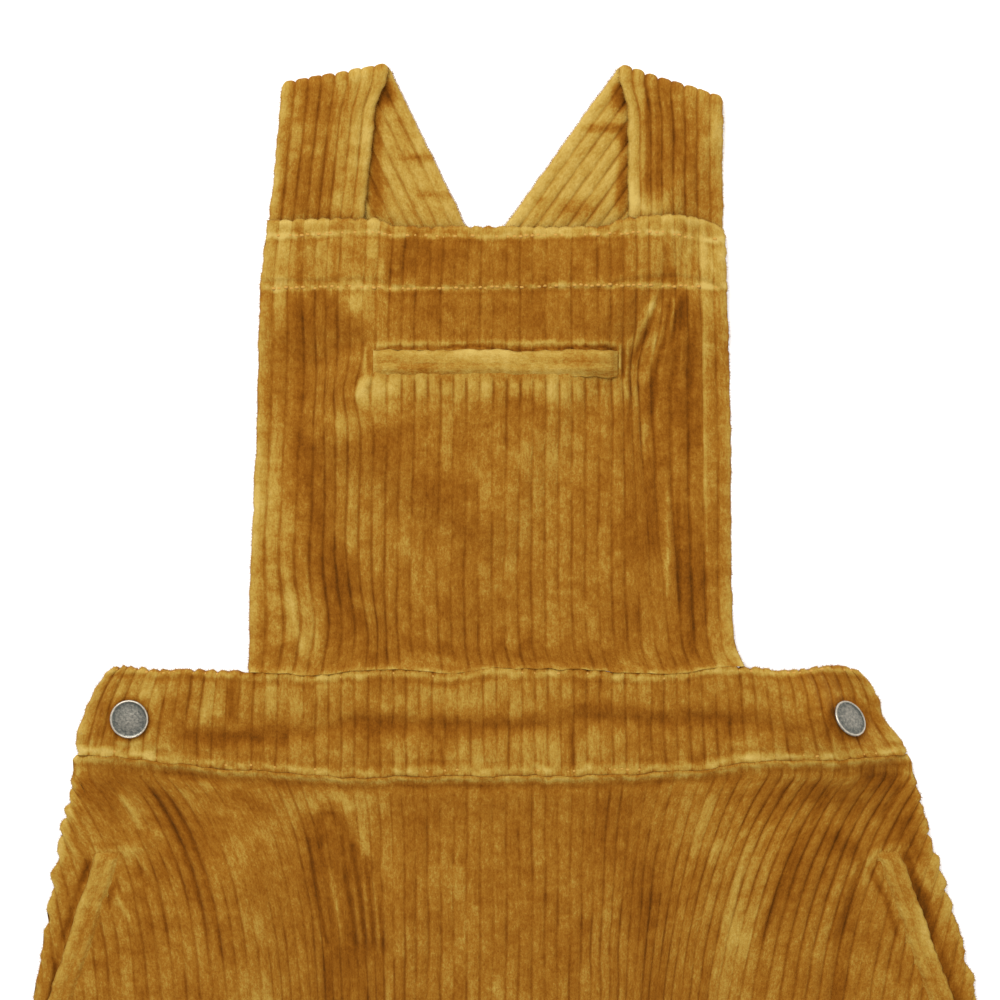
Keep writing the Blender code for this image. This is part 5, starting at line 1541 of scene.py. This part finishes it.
def make_back_band():
    """The back waistband, as much of it as lies between the front band's ends."""
    places = wale_places(0.0, float(BACK_BAND_WALES))[:, None]
    length = BACK_BAND.bottom - BACK_BAND.top
    rows = steps(length, coarse=2.4, fine=1.2, fine_spans=((0.0, 4.0),))[None, :]
    across = mix(BACK_BAND.left, BACK_BAND.right, places / BACK_BAND_WALES)
    to_side = np.minimum(places, BACK_BAND_WALES - places) * WALE_PITCH
    to_edge = np.minimum(to_side, np.minimum(rows, length - rows))
    return add_back_panel("waistband_behind", across, BACK_BAND.top + rows,
                          BACK_BAND_CLOTH - 0.3, 0.25, places, to_edge, 81)


# Straps as meshes ---------------------------------------------------------------------------------

STRAP_TURN_ROWS = 14
STRAP_ROLLS_IN = 3.2      # the front run's inner edge rolls in by this much below the fold


StrapLook = namedtuple("StrapLook", "inner seed tone back_tone")    # inner side: 1 is the right
STRAP_LOOKS = {
    "left": StrapLook(inner=1.0, seed=91, tone=0.18, back_tone=1.1),
    "right": StrapLook(inner=-1.0, seed=101, tone=0.34, back_tone=1.35),
}
BACK_FACE_OFFSET = (50.0, 0.0, 9.0)     # on the cut cloth, from a strap's outside to its inside


def strap_rows(path, sideways):
    """(along, to_fold, end) of each column: its rows, where it meets the fold and where it ends."""
    none = 0.0 * sideways
    to_fold = solve(lambda along: path.plan(along, sideways)[2] - BARELY_BENT,
                    none, none + path.front_length + STRAP_WIDTH)
    start = none + path.front_length + path.turn_length
    end = solve(lambda along: path.plan(along, sideways)[1] - STRAP_END_DOWN,
                start + SHORTEST_BACK_RUN, start + LONGEST_BACK_RUN)
    front = np.concatenate([[0.0, 0.3, 0.8, 1.5], np.arange(3.0, 100.0, 1.6)]) / 100.0
    turn = (np.arange(STRAP_TURN_ROWS) + 0.5) / STRAP_TURN_ROWS
    back = np.concatenate([np.arange(0.0, 99.2, 0.7), [99.5, 99.8, 100.0]]) / 100.0
    along = np.concatenate([front * to_fold, to_fold + turn * path.turn_length,
                            mix(to_fold + path.turn_length, end, back)], axis=1)
    return along, to_fold, end


def joined_faces(columns, rows):
    """Faces of two grids of points that are stored one after the other, joined all round."""
    count = columns * rows
    at = np.arange(count).reshape(columns, rows)
    faces = np.concatenate([grid_faces(first, columns, rows) for first in (0, count)]).tolist()
    for edge in (at[:, 0], at[:, -1], at[0], at[-1]):
        faces += np.stack([edge[:-1], edge[1:], edge[1:] + count, edge[:-1] + count], -1).tolist()
    return faces


def make_strap(side):
    """The strip's two faces: wales outside on the front run, and outside behind too."""
    path, look = PATHS[side], STRAP_LOOKS[side]
    places = wale_places(0.0, float(STRAP_WALES))[:, None]
    sideways = (places / STRAP_WALES - 0.5) * STRAP_WIDTH
    crest, groove = wale_section(places)
    along, to_fold, end = strap_rows(path, sideways)
    bend_share = np.clip((along - to_fold) / path.turn_length, 0.0, 1.0)
    height, feel = wale_feel(places, along, look.seed)
    to_side = np.minimum(places, STRAP_WALES - places) * WALE_PITCH
    to_edge = np.minimum(to_side, np.minimum(along, end - along))
    thin = rounded(to_edge)
    roll = STRAP_ROLLS_IN * ramp((to_fold - along) / 16.0)
    roll = roll * ramp(sideways * look.inner / STRAP_WIDTH + 0.5) ** 2
    outward = np.sign(sideways)
    frayed = 0.7 * outward * fray(along + outward * 300.0, to_side, look.seed + 11)
    across, down, bend = path.plan(along, sideways + frayed - look.inner * roll)
    sway = 0.28 * noise(places * 0.45, along / 15.0, look.seed + 7)
    sway = sway * ramp(to_edge / 5.0) * (bend_share < 0.01)
    shown = shown_grooves(0.75, (), across, down, places, look.seed + 9)
    # painted highlight beside the grooves, and painted light and shade on the wales' sides
    feel = feel + wale_light_and_shade(places, shown)

    def surface(face, rib):
        """Points of one face: 1 is the strip's outside on the front run, -1 the other one."""
        offset = face * (STRAP_CLOTH / 2 + rib) * thin
        bulge = offset * np.sin(bend)
        level = STRAP_CLOTH / 2 + STRAP_FOLD + (STRAP_FOLD + offset) * np.cos(bend)
        level = level - np.where(bend == 0, front_run_sinks(path, across, down), 0.0)
        level = level + np.where(bend >= math.pi, crossing_lift(path, across, down), 0.0)
        # Behind, the strip's outside rests flat; nothing of it may reach below the surface.
        return (across + sway - bulge * path.fold[1], down - bulge * path.fold[0],
                np.maximum(level, 0.0))

    profile = STRAP_RIB * standing(crest, shown) * (1.0 + 0.9 * hill(bend_share - 0.5, 0.3))
    profile = profile - 0.2 * groove * shown + height
    rise, crease_tone = crease_effect(STRAP_CREASES[side], across, down)
    creased = profile + np.maximum(rise, -DEEPEST_STRAP_CREASE)
    outside = surface(1, creased * (1.0 - climb(OUTER_RIBS_FADE, bend_share)))
    inside = surface(-1, profile * climb(INNER_RIBS_GROW, bend_share))

    ragged_down = down + 3.0 * each_wale(places, look.seed + 8)
    front_tone = patches_tone(STRAP_FRONT_PATCHES[side], across, ragged_down) + crease_tone + feel
    # painted shadow on the back run, from its table of dark patches
    back_tone = patches_tone(STRAP_BACK_SHADE[side], across, down) + feel * 0.6
    # painted light on the strap's rounded side edges and painted shade at their very rims
    edge_light = edge_light_and_shade(to_side)
    # the mask for painted shade in the strap's grooves
    groove_shade = (groove * shown * ramp(to_edge / 1.5)).ravel()
    points = np.concatenate([np.stack(one, -1).reshape(-1, 3) for one in (outside, inside)])
    cloth = np.stack(np.broadcast_arrays(places * WALE_PITCH, along, 0.0), -1).reshape(-1, 3)
    attributes = {
        "tone": np.concatenate([(front_tone + look.tone + edge_light).ravel(),
                                (back_tone + look.back_tone + edge_light * 0.4).ravel()]),
        "groove": np.concatenate([groove_shade, groove_shade * 0.9]),
        "cloth": np.concatenate([cloth, cloth + BACK_FACE_OFFSET]) * MM,
    }
    piece = add_piece("strap_" + side + "_cloth", points, joined_faces(*along.shape), CORDUROY,
                      attributes)
    edges = [edge_of(outside, column=0, outward=-1), edge_of(outside, column=-1, outward=1)]
    return piece, make_pile("strap_" + side + "_pile", edges)


# Welts: strips laid on a panel --------------------------------------------------------------------

WELT_SINKS = 0.6          # a welt is drawn down by this much where it is sewn
WELT_WALES = 2
WELT_CLEARS_ACROSS = (-3.0, 0.0, 3.0)    # the panel's highest place this near is cleared
WELT_CLEARS_DOWN = (-3.0, 3.0)


def make_welt(name, corner, surface, length, width, seed, tone, ribbing=1.0, shift=(0.0, 1.0)):
    """corner(share_along, share_over) gives the place; the wales run along the strip.

    Its free edge is a pocket's mouth; the other edges are sewn down. shift is the way that its
    long edges waver; ribbing is how clearly its wales show.
    """
    along = steps(length, coarse=1.1)[:, None]
    places = wale_places(0.0, float(WELT_WALES))[None, :]
    over = places / WELT_WALES
    crest, groove = wale_section(places)
    across, down = corner(along / length, over)
    near = [surface(across + x, down + y) for x in WELT_CLEARS_ACROSS for y in WELT_CLEARS_DOWN]
    height, feel = wale_feel(places, along, seed)
    to_end = np.minimum(along, length - along)
    to_open, to_seam = over * width, (1 - over) * width
    sewn = ramp(to_seam / 3.2) * ramp(to_end / 2.6)
    low = np.max(near, axis=0) + WALE_HEIGHT * 0.9 - WELT_SINKS * (1.0 - sewn)
    ends = hill(to_end - 2.2, 1.2 ** 0.5)
    relief = 0.5 * WALE_HEIGHT * (crest - 0.5) - 0.12 * groove
    face = WELT_CLOTH - WALE_HEIGHT / 4 + ribbing * relief
    face = (face + height - 0.3 * ends) * rounded(to_open) * mix(0.12, 1.0, sewn)
    wavy = 0.3 * waves(along / 7.0, seed + 5)
    wavy = wavy + 0.45 * waves(along / 2.3, seed + 8) * fade(to_open, 1.5)
    wavy = wavy + 0.4 * waves(along / 2.7, seed + 9) * fade(to_seam, 1.5)
    # painted light along the mouth's rounded lip, painted shade at the sewn-down ends
    shade = tone + feel + 0.5 * hill(to_open - 1.2, 1.4) - 0.4 * ends
    shade = shade + 0.3 * noise(along / 9.0, places, seed + 6)
    # the mask for painted shade in the welt's grooves
    groove_shade = 0.45 * ribbing * groove * ramp(to_end / 1.2)
    fields = (shade, groove_shade, places * WALE_PITCH, along)
    return add_cloth(name, (across + wavy * shift[0], down + wavy * shift[1], low + face), low,
                     fields, 3, 3)


def make_bib_welt():
    def corner(along, over):
        return (mix(BIB_WELT.left, BIB_WELT.right, along) + over * 0,
                mix(BIB_WELT.top, BIB_WELT.bottom, over) + along * 0)

    return make_welt("bib_pocket", corner, plain_bib_top, BIB_WELT.right - BIB_WELT.left,
                     BIB_WELT.bottom - BIB_WELT.top, 121, 0.95, ribbing=0.2)


def make_hip_welt(side):
    welt = HIP_WELTS[side]
    inward = 1 if side == "left" else -1
    length = math.hypot(welt.end_across - welt.top_across, welt.end_down - welt.top_down)

    def corner(along, over):
        down = mix(welt.top_down, welt.end_down, along) + over * 0
        across = mix(welt.top_across, welt.end_across, along)
        return across + inward * HIP_WELT_WIDTH * (over - 0.5), down

    return make_welt("hip_pocket_" + side, corner, plain_skirt_top, length, HIP_WELT_WIDTH,
                     131 if side == "left" else 141, 0.4, ribbing=0.5, shift=(1.0, 0.0))


# Stitches -----------------------------------------------------------------------------------------

STITCH_PITCH = 2.3
STITCH_LENGTH = 1.7
STITCH_RADIUS = 0.6
STITCH_SIDES = 6
StitchRing = namedtuple("StitchRing", "along radius")      # shares of the length and the radius
STITCH_RINGS = table(StitchRing, (
    (-0.5, 0.45), (-0.36, 0.92), (0.0, 1.0), (0.36, 0.92), (0.5, 0.45),
))
STITCH_BOW = 1.2          # its ends dive below its middle by a quarter of this
STITCH_SUNK = 0.3


def stitch_line(route, surface, seed):
    """Capsules of thread along a route of (across, down) points, half sunk in the cloth."""
    route = np.array(route)
    lengths = run_lengths(route)
    index = np.arange(int(lengths[-1] / STITCH_PITCH))
    middles = (index + 0.5) * STITCH_PITCH + 0.25 * scatter(index, 0, seed)
    first, last = (on_run(route, lengths, middles + half * STITCH_LENGTH) for half in (-0.5, 0.5))
    run = directions(last - first)
    aside = np.stack([-run[:, 1], run[:, 0]], -1)
    centres = (first + last) / 2 + aside * 0.32 * scatter(index, 9, seed)[:, None]
    along, radius = np.array(STITCH_RINGS).T[:, :, None]
    angles = 2 * math.pi * np.arange(STITCH_SIDES) / STITCH_SIDES
    wide = STITCH_RADIUS * radius * np.cos(angles)
    high = STITCH_RADIUS * radius * np.sin(angles) - STITCH_BOW * along ** 2
    centres, run, aside = (part[:, None, None] for part in (centres, run, aside))
    flat = centres + run * (along * STITCH_LENGTH)[..., None] + aside * wide[..., None]
    middle = flat.mean(axis=(1, 2))
    level = surface(middle[:, 0], middle[:, 1]) + 0.35 * scatter(index, 7, seed) - STITCH_SUNK
    points = np.concatenate([flat, (level[:, None, None] + high)[..., None]], -1).reshape(-1, 3)
    faces = []
    for start in range(0, len(points), high.size):
        faces += ring_faces(start, len(STITCH_RINGS), STITCH_SIDES)
        for cap in (start, start + high.size - STITCH_SIDES):
            faces.append(list(range(cap, cap + STITCH_SIDES)))
    return points, faces


def make_stitches(name, lines):
    """One mesh of several stitch lines; each line is (route, surface, height over it)."""
    points, faces = np.zeros((0, 3)), []
    for number, (route, surface, over) in enumerate(lines):
        line_points, line_faces = stitch_line(route, surface, number)
        faces += [[index + len(points) for index in face] for face in line_faces]
        points = np.concatenate([points, line_points + (0.0, 0.0, over)])
    return add_piece(name, points, faces, THREAD)


def route_of(points, first, last, count=60):
    """A seam table as a route from one across to another."""
    across = np.linspace(first, last, count)
    y = follow(points, "x", "y", across / PIXEL + CENTRE_X)
    return [(a, on_dress(0, b)[1]) for a, b in zip(across, y)]


def band_route(row):
    """A route along the waistband at a share of its depth."""
    return [tuple(float(part) for part in band_place(np.array(share), np.array(row)))
            for share in np.linspace(0.012, 0.988, 90)]


def hem_route():
    across = np.linspace(-216.0, 216.0, 90)
    return [(a, float(hem_down(a)) - SKIRT_TURNED_HEM) for a in across]


def make_all_stitches():
    """The rows on the bib's hem, along both edges of the waistband and over the skirt's hem."""
    bib_rows = make_stitches("bib_stitches", [(route_of(BIB_UPPER_ROW, -87.0, 88.0), bib_top, 0.55),
                                              (route_of(BIB_LOWER_ROW, -89.0, 89.0), bib_top, 0.65)])
    band_rows = make_stitches("waistband_stitches", [(band_route(0.04), band_top, 0.15),
                                                     (band_route(0.95), band_top, 0.2)])
    return bib_rows, band_rows, make_stitches("skirt_stitches", [(hem_route(), skirt_top, 0.45)])


# Snap caps ----------------------------------------------------------------------------------------

CapRing = namedtuple("CapRing", "radius height rim")
# The rim column is painted light, from 0 for painted shade to 1 for a painted highlight: brightest on
# the raised rim, darkest in the dip inside it.
CAP_PROFILE = table(CapRing, (
    (0.90, 0.0, 0.2), (0.97, 0.12, 0.2), (1.0, 0.42, 0.3), (0.998, 0.8, 0.4), (0.975, 1.08, 0.8),
    (0.945, 1.2, 0.95), (0.915, 1.16, 0.7), (0.89, 1.02, 0.3), (0.87, 0.9, 0.0), (0.82, 0.86, 0.05),
    (0.6, 0.95, 0.2), (0.35, 1.04, 0.3), (0.12, 1.08, 0.25),
))
# the painted light at the centre and at the foot
CAP_CENTRE = CapRing(radius=0.0, height=1.09, rim=0.5)
CAP_FOOT_RIM = 0.2
CAP_SIDES = 72
CAP_TILT_REACH = 0.7      # the share of the radius over which the band's slope is taken
CAP_TEST_RINGS = (0.5, 1.0)
CAP_TEST_TURNS = 12


def make_snap(side):
    """A plain pressed cap with a raised rim, set square to the band's face."""
    snap = SNAPS[side]

    def face(across, down):
        return under_band(across, down) + BAND_CLOTH + WALE_HEIGHT - band_crease(across, down)

    near = SNAP_RADIUS * CAP_TILT_REACH
    rise_across = face(snap.across + near, snap.down) - face(snap.across - near, snap.down)
    rise_down = face(snap.across, snap.down + near) - face(snap.across, snap.down - near)
    normal = np.array([-rise_across, -rise_down, 2 * near])
    normal /= np.linalg.norm(normal)
    first = np.array([2 * near, 0.0, rise_across])
    first /= np.linalg.norm(first)
    second = np.cross(normal, first)
    angles = 2 * math.pi * np.arange(CAP_SIDES) / CAP_SIDES
    spokes = SNAP_RADIUS * (np.outer(np.cos(angles), first) + np.outer(np.sin(angles), second))
    foot = np.array([snap.across, snap.down, face(snap.across, snap.down)])
    tested = spokes[::CAP_SIDES // CAP_TEST_TURNS]
    tests = foot + np.concatenate([tested * ring for ring in CAP_TEST_RINGS])
    rise = (face(tests[:, 0], tests[:, 1]) - tests[:, 2]) * normal[2]
    foot = foot + normal * (SEAM_GAP + max(rise.max(), 0.0))
    rings = [foot + spokes * ring.radius + normal * ring.height for ring in CAP_PROFILE]
    points = np.concatenate([[foot], *rings, [foot + normal * CAP_CENTRE.height]])
    # each point's painted light, from the rim column
    rims = np.repeat([ring.rim for ring in CAP_PROFILE], CAP_SIDES)
    rims = np.concatenate([[CAP_FOOT_RIM], rims, [CAP_CENTRE.rim]])
    faces = ring_faces(1, len(CAP_PROFILE), CAP_SIDES)
    centre = len(points) - 1
    for turn in range(CAP_SIDES):
        following = (turn + 1) % CAP_SIDES
        inmost = centre - CAP_SIDES
        faces += [(0, 1 + following, 1 + turn), (inmost + turn, inmost + following, centre)]
    return add_piece("snap_cap_" + side, points, faces, METAL, {"rim": rims})


# The dress, piece by piece ------------------------------------------------------------------------

def declare(piece, node):
    """The piece stands for its solid, which is hidden."""
    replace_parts(piece, node)


def make_dress():
    """Each piece rests on those below it, so the lowest ones come first."""
    skirt_behind = make_back_skirt()
    band_behind = make_back_band()
    straps = {side: make_strap(side) for side in STRAPS}
    skirt, skirt_pile = make_front_skirt()
    band, band_pile = make_front_band()
    bib, bib_pile = make_bib()
    pocket = make_bib_welt()
    hip_pockets = {side: make_hip_welt(side) for side in HIP_WELTS}
    bib_rows, band_rows, skirt_rows = make_all_stitches()
    for side in SNAPS:
        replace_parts(make_snap(side), "snap_" + side)
    declare(skirt_behind, "skirt_back")
    declare(band_behind, "waistband_back")
    declare(skirt, "skirt_front")
    declare(band, "waistband_front")
    declare(bib, "bib_front")
    declare(pocket, "bib_pocket_welt")
    for side, (strap, strap_pile) in straps.items():
        declare(strap, "strap_" + side)
    for side, piece in hip_pockets.items():
        declare(piece, "hip_pocket_welt_" + side)


# Floor, light and camera --------------------------------------------------------------------------

FLOOR_HALF = 4.0
FLOOR_LEVEL = -0.0002
LIGHTS_FACE = (0.0, 0.12, 0.0)


def make_floor():
    mesh = bpy.data.meshes.new("floor")
    corners = [(x * FLOOR_HALF, y * FLOOR_HALF, FLOOR_LEVEL)
               for x, y in ((-1, -1), (1, -1), (1, 1), (-1, 1))]
    mesh.from_pydata(corners, [], [(0, 1, 2, 3)])
    floor = bpy.data.objects.new("floor", mesh)
    bpy.context.scene.collection.objects.link(floor)
    look = Shading("white_floor")
    look.fill(look.shader, {
        "Base Color": (0.93, 0.93, 0.93, 1.0), "Roughness": 0.9, "Specular IOR Level": 0.1,
        "Emission Color": (1.0, 1.0, 1.0, 1.0), "Emission Strength": 0.3,
    })
    mesh.materials.append(look.material)


def aim(piece, target):
    """Turn a lamp to face a point."""
    direction = [target[k] - piece.location[k] for k in range(3)]
    flat = math.hypot(direction[0], direction[1])
    piece.rotation_euler = (math.atan2(flat, -direction[2]), 0.0,
                            math.atan2(direction[0], -direction[1]) + math.pi)


def make_light(name, location, size, power):
    lamp = bpy.data.lights.new(name, "AREA")
    lamp.shape = "SQUARE"
    lamp.size = size
    lamp.energy = power
    piece = bpy.data.objects.new(name, lamp)
    piece.location = location
    aim(piece, LIGHTS_FACE)
    bpy.context.scene.collection.objects.link(piece)


def make_lights():
    world = bpy.data.worlds.new("studio")
    world.use_nodes = True
    background = world.node_tree.nodes["Background"]
    background.inputs["Color"].default_value = (1.0, 1.0, 1.0, 1.0)
    background.inputs["Strength"].default_value = 0.6
    bpy.context.scene.world = world
    make_light("key", (-0.45, 0.95, 1.25), size=0.9, power=18.0)
    make_light("fill", (0.9, -0.2, 1.3), size=1.2, power=5.0)


FIELD = PHOTO_PIXELS * PIXEL
LENS = 110.0
SENSOR = 36.0
CLOTH_LEVEL = 5.0


def make_camera():
    """Straight down, as the photograph is taken, with its frame."""
    camera = bpy.data.cameras.new("camera")
    camera.lens = LENS
    camera.sensor_width = SENSOR
    camera.clip_end = 20.0
    piece = bpy.data.objects.new("camera", camera)
    across, down = on_dress(PHOTO_PIXELS / 2, PHOTO_PIXELS / 2)
    height = FIELD * LENS / SENSOR + CLOTH_LEVEL
    piece.location = (across * MM, (ORIGIN_DOWN - down) * MM, height * MM)
    bpy.context.scene.collection.objects.link(piece)
    bpy.context.scene.camera = piece


def main():
    bpy.context.scene.view_settings.view_transform = "Standard"
    make_floor()
    make_camera()
    make_lights()
    make_dress()


main()
